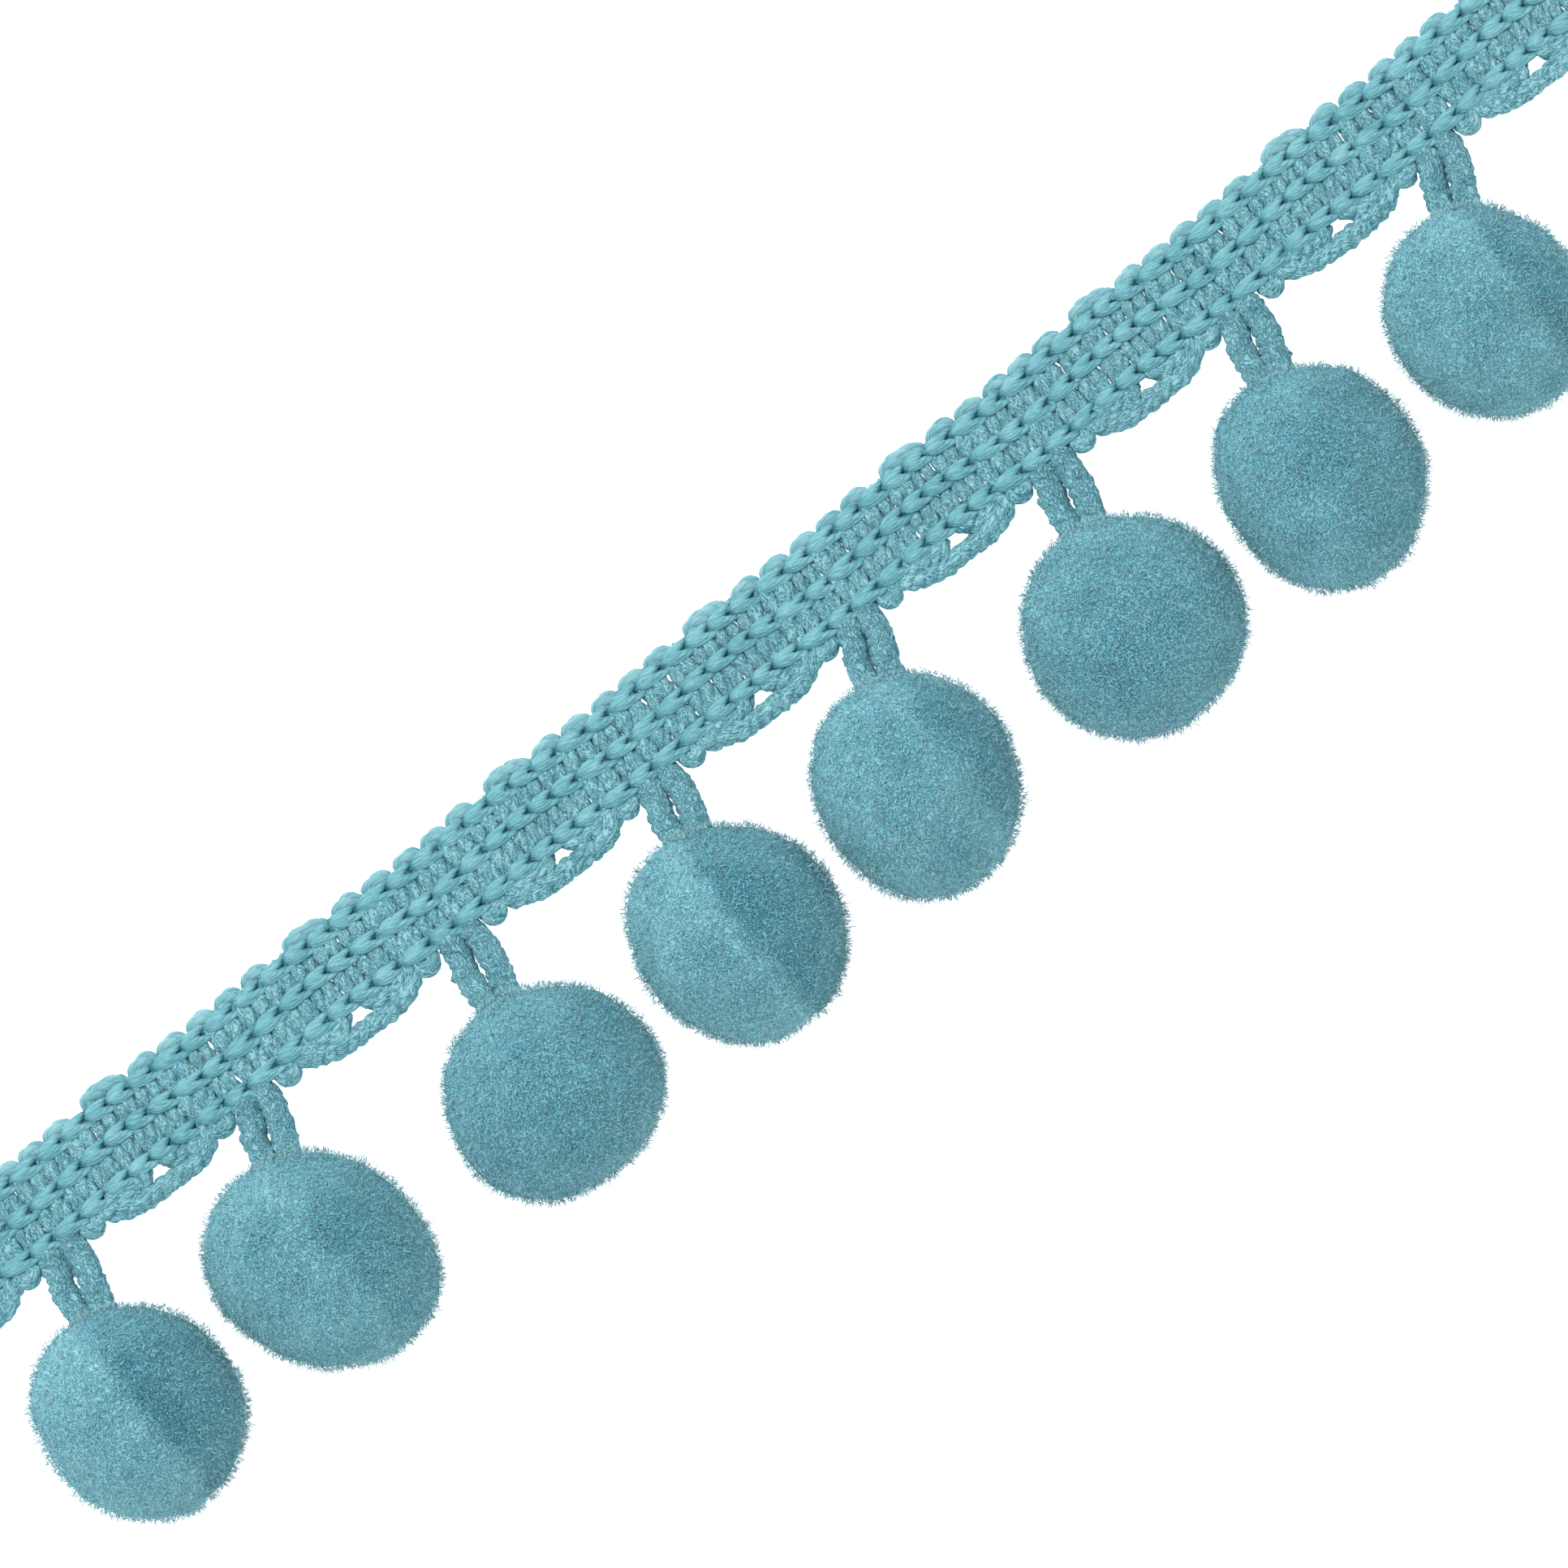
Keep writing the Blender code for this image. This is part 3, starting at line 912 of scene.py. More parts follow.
@dataclass(frozen=True)
class CrimpedYarn(Finish):
    """Crinkled matt gimp, drawn over with its curled fibres."""

    curl_size: float = 0.75 * MM
    curl_turns: float = 9.0
    curl_stretch: float = 2.2
    ply_size: float = 0.55 * MM
    mottle_sizes: tuple[float, float] = (1.6 * MM, 0.18 * MM)
    line_share: float = 0.38
    fine_share: float = 0.40
    coarse_share: float = 0.30

    def material(self, groups: Groups) -> bpy.types.Material:
        """Build the material, its curls drawn out along the yarn's own fibre coordinates.

        Args:
            groups: The shared shader groups.

        Returns:
            The material.
        """
        material, board = blank_material(self.name)
        principled = self.shader(board)
        drawn_out = board.vector(
            "MULTIPLY",
            attribute(board, "fibre", "Vector"),
            (1.0 / self.curl_stretch, self.ply_size, self.ply_size),
        )
        shift = tuple(part * MM for part in STRAND_SHIFT)
        own = board.scaled(shift, attribute(board, "tone", "Fac"))
        curls = place_group(
            board,
            groups.curls,
            board.vector("ADD", drawn_out, own),
            Size=self.curl_size,
            Turns=self.curl_turns,
        )
        mottle = place_group(
            board,
            groups.unevenness,
            object_place(board),
            Coarse_Size=self.mottle_sizes[0],
            Fine_Size=self.mottle_sizes[1],
        )
        mixed = blend(
            board,
            (curls.outputs["Lines"], self.line_share),
            (mottle.outputs["Fine"], self.fine_share),
            (mottle.outputs["Coarse"], self.coarse_share),
        )
        board.feed(principled.inputs["Base Color"], self.tones(board, mixed))
        height = blend(board, (curls.outputs["Lines"], 0.7), (mottle.outputs["Fine"], 0.5))
        self.relief(board, height, principled)
        return material


@dataclass(frozen=True)
class TrimmedPile(Finish):
    """Dense trimmed pile: felt-like curls below, with painted shade at the fibre roots and painted
    light on the fibre tips above.
    """

    # tip: a pale colour mixed in towards each fibre's tip, painted light for the glowing fuzz at
    # the balls' rims
    tip: Colour = (0.600, 0.885, 0.930)
    tip_light_share: float = 0.88
    curl_size: float = 0.80 * MM
    curl_turns: float = 9.0
    nap_sizes: tuple[float, float] = (5.0 * MM, 0.16 * MM)
    root_shade_share: float = 0.30
    fibre_share: float = 0.12
    parting_shade_share: float = 0.15
    coarse_share: float = 0.30
    fine_share: float = 0.30
    line_share: float = 0.36

    def material(self, groups: Groups) -> bpy.types.Material:
        """Build the material, with painted shade at the roots, painted light towards the tips, and
        soft nap patches.

        Args:
            groups: The shared shader groups.

        Returns:
            The material.
        """
        material, board = blank_material(self.name)
        principled = self.shader(board)
        nap = place_group(
            board,
            groups.unevenness,
            object_place(board),
            Coarse_Size=self.nap_sizes[0],
            Fine_Size=self.nap_sizes[1],
        )
        curls = place_group(
            board, groups.curls, object_place(board), Size=self.curl_size, Turns=self.curl_turns
        )
        rise = attribute(board, "rise", "Fac")
        # the rise weight is painted shade: roots and the bare ground come out darker than the
        # fibres' upper parts
        mixed = blend(
            board,
            (rise, self.root_shade_share),
            (attribute(board, "tone", "Fac"), self.fibre_share),
            (attribute(board, "nap", "Fac"), self.parting_shade_share),
            (nap.outputs["Coarse"], self.coarse_share),
            (nap.outputs["Fine"], self.fine_share),
            (curls.outputs["Lines"], self.line_share),
        )
        # mix in the pale tip colour by rise: painted light on the fibre tips
        tip_lit = board.add("ShaderNodeMix", data_type="RGBA")
        colours = {socket.identifier: socket for socket in tip_lit.inputs}
        board.feed(colours["Factor_Float"], board.math("MULTIPLY", rise, self.tip_light_share))
        board.feed(colours["A_Color"], self.tones(board, mixed))
        board.feed(colours["B_Color"], (*self.tip, 1.0))
        blended = next(s for s in tip_lit.outputs if s.identifier == "Result_Color")
        board.feed(principled.inputs["Base Color"], blended)
        height = blend(board, (curls.outputs["Lines"], 0.6), (nap.outputs["Fine"], 0.6))
        self.relief(board, height, principled)
        return material


@dataclass(frozen=True)
class Yarn:
    """How a yarn is plied: the inputs of the laid-yarn tree."""

    plies: int
    ply_radius: float
    ply_offset: float
    twist_length: float
    sides: int
    step: float
    curl: float
    curl_size: float
    crimp: float
    crimp_size: float

    def inputs(self, material: bpy.types.Material) -> dict[str, object]:
        """Name this yarn's values for the tree.

        Args:
            material: What the yarn is dressed in.

        Returns:
            The tree's inputs by name.
        """
        return {
            "Step": self.step,
            "Plies": self.plies,
            "Ply Radius": self.ply_radius,
            "Ply Offset": self.ply_offset,
            "Twist Length": self.twist_length,
            "Sides": self.sides,
            "Curl": self.curl,
            "Curl Size": self.curl_size,
            "Crimp": self.crimp,
            "Crimp Size": self.crimp_size,
            "Floor": FLOOR_GAP,
            "End": HALF_LENGTH,
            "Material": material,
        }


@dataclass
class Wires:
    """Paths for yarn, gathered into one mesh of edges."""

    points: list[Vector] = field(default_factory=list)
    edges: list[tuple[int, int]] = field(default_factory=list)
    thickness: list[float] = field(default_factory=list)
    tone: list[float] = field(default_factory=list)

    def lay(self, path: Sequence[Vector], thickness: Sequence[float], tone: float) -> None:
        """Add one path.

        Args:
            path: Its points.
            thickness: The yarn's radius at each point.
            tone: A number from 0 to 1 that tells this strand from the others.
        """
        first = len(self.points)
        self.points += [Vector(point) for point in path]
        self.edges += [(first + i, first + i + 1) for i in range(len(path) - 1)]
        self.thickness += list(thickness)
        self.tone += [tone] * len(path)

    def mesh(self, name: str) -> bpy.types.Mesh:
        """Make a mesh of edges that carries the paths' thickness and tone.

        Args:
            name: The piece's name.

        Returns:
            The mesh.
        """
        mesh = bpy.data.meshes.new(name + "_paths")
        mesh.from_pydata([tuple(point) for point in self.points], self.edges, [])
        for label, values in (("thickness", self.thickness), ("tone", self.tone)):
            layer = mesh.attributes.new(label, "FLOAT", "POINT")
            layer.data.foreach_set("value", values)
        return mesh


@dataclass(frozen=True)
class Lay:
    """How the trim lies: where its hangers drop and how its line bows."""

    hangers: tuple[float, ...] = tuple(
        x * MM for x in (-81.4, -58.7, -34.4, -11.1, 12.4, 35.4, 57.7, 81.4)
    )
    pitch: float = 23.25 * MM
    bow_height: float = 1.0 * MM

    def bow(self, x: float) -> float:
        """Return how far the line has swung towards +Y at x."""
        return self.bow_height * (1.0 - math.cos(math.pi * x / (2.0 * HALF_LENGTH)))

    def hanger(self, index: int) -> float:
        """Return a hanger's x, also past the first and the last."""
        nearest = min(max(index, 0), len(self.hangers) - 1)
        return self.hangers[nearest] + (index - nearest) * self.pitch

    def repeats(self) -> Iterator[tuple[float, float]]:
        """Yield the start and the size of each repeat, with the cut ones at the ends."""
        for index in range(-1, len(self.hangers)):
            start = self.hanger(index)
            yield start, self.hanger(index + 1) - start

    def reaches(self, low: float, high: float) -> bool:
        """Tell whether some of a stretch along X lies between the cut ends."""
        margin = 0.12 * (high - low)
        return low + margin < HALF_LENGTH and high - margin > -HALF_LENGTH


@dataclass(frozen=True)
class EdgeLoop:
    """A turn of gimp at an edge.

    Its middle is a share of the repeat. The crest can stand to one side of the middle.
    """

    share: float
    half_width: float
    reach: float
    crest_shift: float


def eased(value: float, low: float, high: float) -> float:
    """Ease a value between two limits.

    Args:
        value: The value.
        low: Where it starts to count.
        high: Where it counts in full.

    Returns:
        How far it has gone, from 0 to 1 with soft ends.
    """
    share = min(max((value - low) / (high - low), 0.0), 1.0)
    return share * share * (3.0 - 2.0 * share)


@dataclass(frozen=True)
class StitchForm:
    """How one bundle of a chain stitch fans out, rises, and dives under the next stitch.

    Places are shares of the stitch's length, thicknesses shares of the bundle's.
    """

    tip: float = -0.02
    tip_width: float = 0.08
    fanned_at: float = 0.58
    risen_at: float = 0.40
    rise: float = 1.00 * MM
    dive: float = 0.75 * MM
    dive_length: float = 0.08
    outer_dive: float = 0.20
    crown: float = 0.26 * MM
    crowned_at: float = 0.6
    tip_thickness: float = 0.48
    dive_thinning: float = 0.55
    middle_end: float = 0.77
    outer_end: float = 0.50
    lean_end: float = 0.12
    points: int = 10


@dataclass
class Braid:
    """The knitted heading: chain-stitched wales over crimped wefts, with looped edges."""

    lay: Lay
    yarn_tree: Recipe
    satin: bpy.types.Material
    loop: bpy.types.Material
    gimp: bpy.types.Material
    wales: tuple[tuple[str, float, float], ...] = (
        ("upper", 3.15 * MM, 3.50 * MM),
        ("middle", -0.08 * MM, 0.60 * MM),
        ("lower", -3.40 * MM, -3.00 * MM),
    )
    stitch_starts: tuple[float, ...] = (0.0, 0.142, 0.277, 0.403, 0.515, 0.621, 0.739, 0.887)
    bundles: tuple[float, ...] = (-1.0, -0.6, -0.2, 0.2, 0.6, 1.0)
    form: StitchForm = StitchForm()
    stitch_spread: float = 0.58 * MM
    stitch_height: float = 1.92 * MM
    stitch_lean: float = 0.14 * MM
    bundle_radius: float = 0.29 * MM
    top_loops: tuple[EdgeLoop, ...] = (
        EdgeLoop(0.024, 1.66 * MM, 0.70 * MM, 0.0),
        EdgeLoop(0.159, 1.62 * MM, 0.70 * MM, 0.0),
        EdgeLoop(0.296, 1.70 * MM, 0.85 * MM, 0.0),
        EdgeLoop(0.547, 2.62 * MM, 1.20 * MM, -0.80 * MM),
        EdgeLoop(0.731, 1.72 * MM, 0.90 * MM, 0.30 * MM),
        EdgeLoop(0.878, 1.78 * MM, 0.70 * MM, 0.0),
    )
    small_loops: tuple[EdgeLoop, ...] = (
        EdgeLoop(0.166, 1.52 * MM, 0.0, 0.0),
        EdgeLoop(0.836, 1.52 * MM, 0.0, 0.0),
    )
    arch_points: int = 11
    arch_inset: float = 0.86
    arch_fullness: float = 0.55
    arch_foot: float = 0.78
    arch_lift: float = 0.10 * MM
    arch_hump: float = 0.25 * MM
    top_radius: float = 0.80 * MM
    small_radius: float = 0.88 * MM
    rim: tuple[tuple[float, float], ...] = (
        (0.236, -4.0), (0.250, -4.55), (0.296, -5.10), (0.355, -5.60), (0.430, -5.86),
        (0.520, -5.90), (0.610, -5.92), (0.690, -5.72), (0.740, -5.15), (0.764, -4.6),
        (0.776, -4.0),
    )
    left_fill: tuple[tuple[float, float], ...] = (
        (0.275, -3.8), (0.320, -4.20), (0.385, -4.45), (0.440, -4.30), (0.458, -3.6),
    )
    right_fill: tuple[tuple[float, float], ...] = (
        (0.566, -3.5), (0.582, -4.10), (0.636, -4.55), (0.700, -4.55), (0.732, -4.0),
    )
    rim_radius: float = 1.00 * MM
    fill_radius: float = 0.92 * MM
    passes: tuple[float, ...] = (0.29, 0.76)
    weft_share: float = 0.275
    back_height: float = 0.36 * MM
    back_radius: float = 0.34 * MM
    weft_height: float = 1.06 * MM
    weft_margin: float = 0.6 * MM
    weft_dip: float = 0.74 * MM
    weft_turn: float = 0.80 * MM
    weft_pinch: float = 0.85
    nub_half: float = 0.35 * MM
    top_valley: float = 4.35 * MM
    small_loop_y: float = -5.95 * MM
    seed: int = 5
    stitch_yarn: Yarn = Yarn(
        plies=1, ply_radius=1.0, ply_offset=0.0, twist_length=-6.0 * MM, sides=6, step=0.36 * MM,
        curl=0.0, curl_size=1.0 * MM, crimp=0.04 * MM, crimp_size=0.4 * MM,
    )
    back_yarn: Yarn = Yarn(
        plies=1, ply_radius=1.0, ply_offset=0.0, twist_length=9.0 * MM, sides=6, step=1.0 * MM,
        curl=0.1 * MM, curl_size=1.0 * MM, crimp=0.05 * MM, crimp_size=0.5 * MM,
    )
    weft_yarn: Yarn = Yarn(
        plies=4, ply_radius=0.62, ply_offset=0.50, twist_length=5.5 * MM, sides=6, step=0.34 * MM,
        curl=0.56 * MM, curl_size=0.60 * MM, crimp=0.44 * MM, crimp_size=0.45 * MM,
    )
    loop_yarn: Yarn = Yarn(
        plies=3, ply_radius=0.62, ply_offset=0.42, twist_length=4.6 * MM, sides=10, step=0.20 * MM,
        curl=0.20 * MM, curl_size=0.6 * MM, crimp=0.20 * MM, crimp_size=0.35 * MM,
    )
    rim_yarn: Yarn = Yarn(
        plies=3, ply_radius=0.60, ply_offset=0.46, twist_length=-3.6 * MM, sides=10, step=0.20 * MM,
        curl=0.48 * MM, curl_size=0.8 * MM, crimp=0.50 * MM, crimp_size=0.50 * MM,
    )

    def wale_y(self, number: int, share: float) -> float:
        """Find a wale's middle line.

        Args:
            number: The wale, from 0 at the plain edge.
            share: The place within the repeat, with a hanger at 0 and at 1.

        Returns:
            The middle line's y, before the bow.
        """
        _, at_hanger, between = self.wales[number]
        near = 0.5 + 0.5 * math.cos(math.tau * share)
        return at_hanger * near + between * (1.0 - near)

    def stitches(self) -> Iterator[tuple[float, float, float]]:
        """Yield each stitch's start x, its length, and its share of the repeat."""
        for start, size in self.lay.repeats():
            ends = self.stitch_starts[1:] + (1.0,)
            for low, high in zip(self.stitch_starts, ends):
                x = start + low * size
                length = (high - low) * size
                if self.lay.reaches(x, x + length):
                    yield x, length, low

    def finish_piece(self, piece: bpy.types.Object) -> bpy.types.Object:
        """Let a piece ride, stand for the braid, and report it."""
        return deliver(piece, ["braid"])

    def bundle_point(self, across: float, share: float, end: float) -> tuple[float, float, float]:
        """Place one point of a filament bundle within its stitch.

        Args:
            across: The bundle's place over the stitch's width, from -1 to 1.
            share: The point's place along the stitch; the next stitch starts at 1.
            end: The share at which this bundle ends.

        Returns:
            How far aside it lies, its height and its radius.
        """
        form = self.form
        fanned = eased(share, form.tip, form.fanned_at)
        spread = self.stitch_spread * (form.tip_width + (1.0 - form.tip_width) * fanned)
        aside = across * spread + self.stitch_lean * (0.5 - share)
        emerging = eased(share, form.tip, form.risen_at)
        diving = eased(share, end - form.dive_length - form.outer_dive * abs(across), end)
        height = self.stitch_height - form.rise * (1.0 - emerging) - form.dive * diving
        height -= form.crown * across * across * eased(share, 0.0, form.crowned_at)
        radius = self.bundle_radius * (form.tip_thickness + (1.0 - form.tip_thickness) * emerging)
        return aside, height, radius * (1.0 - form.dive_thinning * diving)

    def make_wale(self, number: int, dice: random.Random) -> bpy.types.Object:
        """Lay one wale's chain stitches, each a fan of filament bundles.

        Args:
            number: The wale, from 0 at the plain edge.
            dice: Draws the small unevenness.

        Returns:
            The piece.
        """
        form = self.form
        wires = Wires()
        for x, length, low in self.stitches():
            sway = dice.uniform(-0.06, 0.06) * MM
            lift = dice.uniform(-0.05, 0.06) * MM
            wide = dice.uniform(0.92, 1.08)
            for across in self.bundles:
                end = form.middle_end + form.outer_end * abs(across)
                end -= form.lean_end * min(across, 0.0)
                end += dice.uniform(-0.04, 0.04)
                path, thick = [], []
                for step in range(form.points):
                    share = form.tip + (end - form.tip) * step / (form.points - 1)
                    aside, height, radius = self.bundle_point(across * wide, share, end)
                    px = x + share * length
                    y = self.wale_y(number, low + share * length / self.lay.pitch) + aside + sway
                    path.append(Vector((px, y + self.lay.bow(px), height + lift)))
                    thick.append(radius * dice.uniform(0.94, 1.06))
                wires.lay(path, thick, dice.random())
        name = f"chain_{self.wales[number][0]}"
        made = self.yarn_tree.run(wires.mesh(name), name, self.stitch_yarn.inputs(self.satin))
        return self.finish_piece(made)

    def make_back_strands(self) -> bpy.types.Object:
        """Lay the strand that each wale shows on the underside, and return the piece."""
        wires = Wires()
        for number in range(len(self.wales)):
            path = []
            for x, _, low in self.stitches():
                y = self.wale_y(number, low) + self.lay.bow(x)
                path.append(Vector((x, y, self.back_height)))
            wires.lay(path, [self.back_radius] * len(path), 0.5)
        name = "back_strands"
        made = self.yarn_tree.run(wires.mesh(name), name, self.back_yarn.inputs(self.satin))
        return self.finish_piece(made)

    def make_wefts(self, dice: random.Random) -> bpy.types.Object:
        """Lay the crimped wefts, two passes side by side in each course.

        Args:
            dice: Draws the small unevenness.

        Returns:
            The piece.
        """
        wires = Wires()
        for x, length, low in self.stitches():
            for place in self.passes:
                px = x + length * (place + dice.uniform(-0.02, 0.02))
                if abs(px) > HALF_LENGTH + self.weft_margin:
                    continue
                share = low + length * place / self.lay.pitch
                rows = [self.wale_y(number, share) for number in range(3)]
                full = self.weft_share * length
                slit = full * dice.choice((0.84, 0.97, 1.04))
                upper = 0.5 * (rows[0] + rows[1])
                lower = 0.5 * (rows[1] + rows[2])
                lift = dice.uniform(-0.06, 0.06) * MM
                drop = dice.uniform(-0.06, 0.06) * MM
                stops = (
                    (rows[0] + 0.75 * MM, self.weft_turn, full * 0.80),
                    (rows[0], self.weft_dip, full * self.weft_pinch),
                    (upper + self.nub_half, self.weft_height + lift, slit),
                    (upper - self.nub_half, self.weft_height + lift, slit),
                    (rows[1], self.weft_dip, full * self.weft_pinch),
                    (lower + self.nub_half, self.weft_height + drop, full),
                    (lower - self.nub_half, self.weft_height + drop, full),
                    (rows[2], self.weft_dip, full * self.weft_pinch),
                    (rows[2] - 0.6 * MM, self.weft_turn, full * 0.75),
                )
                path, thick = [], []
                for y, z, radius in stops:
                    path.append(Vector((px, y + self.lay.bow(px), z)))
                    thick.append(radius * dice.uniform(0.95, 1.05))
                wires.lay(path, thick, dice.random())
        name = "wefts"
        made = self.yarn_tree.run(wires.mesh(name), name, self.weft_yarn.inputs(self.gimp))
        return self.finish_piece(made)

    def arch(
        self, loop: EdgeLoop, middle: float, foot_y: float, crest_y: float, radius: float
    ) -> tuple[list[Vector], list[float]]:
        """Return the path of one turn of gimp over an edge.

        Args:
            loop: The turn's proportions.
            middle: The turn's x.
            foot_y: Where its two feet go under the wale.
            crest_y: Its outermost y.
            radius: The gimp's radius.

        Returns:
            The points and the radius at each.
        """
        outward = 1.0 if crest_y > foot_y else -1.0
        inner = loop.half_width - self.arch_inset * radius
        path, thick = [], []
        for number in range(self.arch_points):
            angle = math.pi * number / (self.arch_points - 1)
            rise = max(math.sin(angle), 0.0) ** self.arch_fullness
            x = middle - inner * math.cos(angle) + loop.crest_shift * rise * math.sin(angle)
            y = foot_y + (crest_y - outward * radius - foot_y) * rise
            z = radius + self.arch_lift + self.arch_hump * rise
            path.append(Vector((x, y + self.lay.bow(x), z)))
            thick.append(radius * (self.arch_foot + (1.0 - self.arch_foot) * rise))
        return path, thick

    def make_top_loops(self, dice: random.Random) -> bpy.types.Object:
        """Lay the turns of gimp along the braid's plain edge.

        Args:
            dice: Draws the small unevenness.

        Returns:
            The piece.
        """
        wires = Wires()
        for start, size in self.lay.repeats():
            for loop in self.top_loops:
                x = start + loop.share * size
                if not self.lay.reaches(x, x):
                    continue
                crest = self.top_valley + loop.reach * dice.uniform(0.88, 1.12)
                foot = self.wale_y(0, loop.share) + 0.2 * MM
                path, thick = self.arch(loop, x, foot, crest, self.top_radius)
                wires.lay(path, thick, dice.random())
        name = "top_loops"
        made = self.yarn_tree.run(wires.mesh(name), name, self.loop_yarn.inputs(self.loop))
        return self.finish_piece(made)

    def make_small_loops(self, dice: random.Random) -> bpy.types.Object:
        """Lay the small turns of gimp on either side of each hanger.

        Args:
            dice: Draws the small unevenness.

        Returns:
            The piece.
        """
        wires = Wires()
        for start, size in self.lay.repeats():
            for loop in self.small_loops:
                x = start + loop.share * size
                if not self.lay.reaches(x, x):
                    continue
                foot = self.wale_y(2, loop.share) - 0.5 * MM
                path, thick = self.arch(loop, x, foot, self.small_loop_y, self.small_radius)
                wires.lay(path, thick, dice.random())
        name = "small_loops"
        made = self.yarn_tree.run(wires.mesh(name), name, self.loop_yarn.inputs(self.gimp))
        return self.finish_piece(made)

    def make_scallops(self, dice: random.Random) -> bpy.types.Object:
        """Lay each scallop's corded rim and the two strands that fill it beside its hole.

        Args:
            dice: Draws the small unevenness.

        Returns:
            The piece.
        """
        wires = Wires()
        for start, size in self.lay.repeats():
            if not self.lay.reaches(start, start + size):
                continue
            strands = (
                (self.rim, self.rim_radius),
                (self.left_fill, self.fill_radius),
                (self.right_fill, self.fill_radius),
            )
            for points, radius in strands:
                path = []
                for share, y in points:
                    x = start + share * size
                    path.append(Vector((x, y * MM + self.lay.bow(x), radius + 0.08 * MM)))
                wires.lay(path, [radius * dice.uniform(0.95, 1.05) for _ in path], dice.random())
        name = "scallops"
        made = self.yarn_tree.run(wires.mesh(name), name, self.rim_yarn.inputs(self.gimp))
        return self.finish_piece(made)

    def build(self) -> None:
        """Make every piece of the braid."""
        dice = random.Random(self.seed)
        for number in range(len(self.wales)):
            self.make_wale(number, dice)
        self.make_back_strands()
        self.make_wefts(dice)
        self.make_top_loops(dice)
        self.make_small_loops(dice)
        self.make_scallops(dice)


def deliver(piece: bpy.types.Object, nodes: Sequence[str]) -> bpy.types.Object:
    """Let a finished piece ride on the part and stand for its CAD nodes.

    Args:
        piece: The finished piece.
        nodes: The CAD nodes that it stands for.

    Returns:
        The same piece.
    """
    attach(piece, BODY)
    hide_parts(*nodes)
    piece.data.calc_loop_triangles()
    log.info("piece %s: %d triangles", piece.name, len(piece.data.loop_triangles))
    return piece


@dataclass
class Hanger:
    """The looped gimp cord that holds one pompom, seen as two legs."""

    number: int
    lay: Lay
    yarn_tree: Recipe
    gimp: bpy.types.Material
    radius: float = 1.20 * MM
    half_gap: float = 1.20 * MM
    root_y: float = -3.7 * MM
    edge_y: float = -4.9 * MM
    depth_share: float = 0.80
    inner_share: float = 0.6
    root_spread: float = 0.94
    edge_spread: float = 0.96
    entry_spread: float = 1.20
    root_height: float = 0.62
    root_thickness: float = 0.68
    sag: tuple[float, float, float] = (0.12 * MM, 0.0, -0.25 * MM)
    yarn: Yarn = Yarn(
        plies=3, ply_radius=0.58, ply_offset=0.52, twist_length=-3.1 * MM, sides=12, step=0.18 * MM,
        curl=0.60 * MM, curl_size=0.8 * MM, crimp=0.75 * MM, crimp_size=0.60 * MM,
    )

    def path(self, side: Side) -> list[Vector]:
        """Lead one leg from under the lower wale into the ball.

        Args:
            side: Which leg.

        Returns:
            The points of its middle line.
        """
        x = self.lay.hangers[self.number - 1]
        low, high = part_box(f"pompom_{self.number}")
        ball = (low + high) / 2.0
        bow = self.lay.bow(x)
        offset = side.value * self.half_gap
        root_x = x + self.root_spread * offset
        root = Vector((root_x, self.root_y + bow, self.root_height * self.radius))
        edge_x = x + self.edge_spread * offset
        edge = Vector((edge_x, self.edge_y + bow, self.radius + 0.05 * MM))
        entry = ball + (Vector((x, self.edge_y + bow, self.radius)) - ball) * self.depth_share
        entry = entry + Vector((offset * self.entry_spread, 0.0, 0.0))
        inner = ball + (entry - ball) * self.inner_share
        middle = edge.lerp(entry, 0.5) + Vector(self.sag)
        return [root, edge, middle, entry, inner]

    def build(self) -> bpy.types.Object:
        """Lay both legs and return the piece."""
        wires = Wires()
        for side in Side:
            path = self.path(side)
            thickness = [self.root_thickness * self.radius] + [self.radius] * (len(path) - 1)
            wires.lay(path, thickness, 0.5 + 0.3 * side.value)
        name = f"hanger_cord_{self.number}"
        made = self.yarn_tree.run(wires.mesh(name), name, self.yarn.inputs(self.gimp))
        return deliver(made, [f"hanger_{self.number}"])


@dataclass(frozen=True)
class Parting:
    """Where a ball's pile parts: how far beside its middle, and how plainly."""

    offset: float
    strength: float


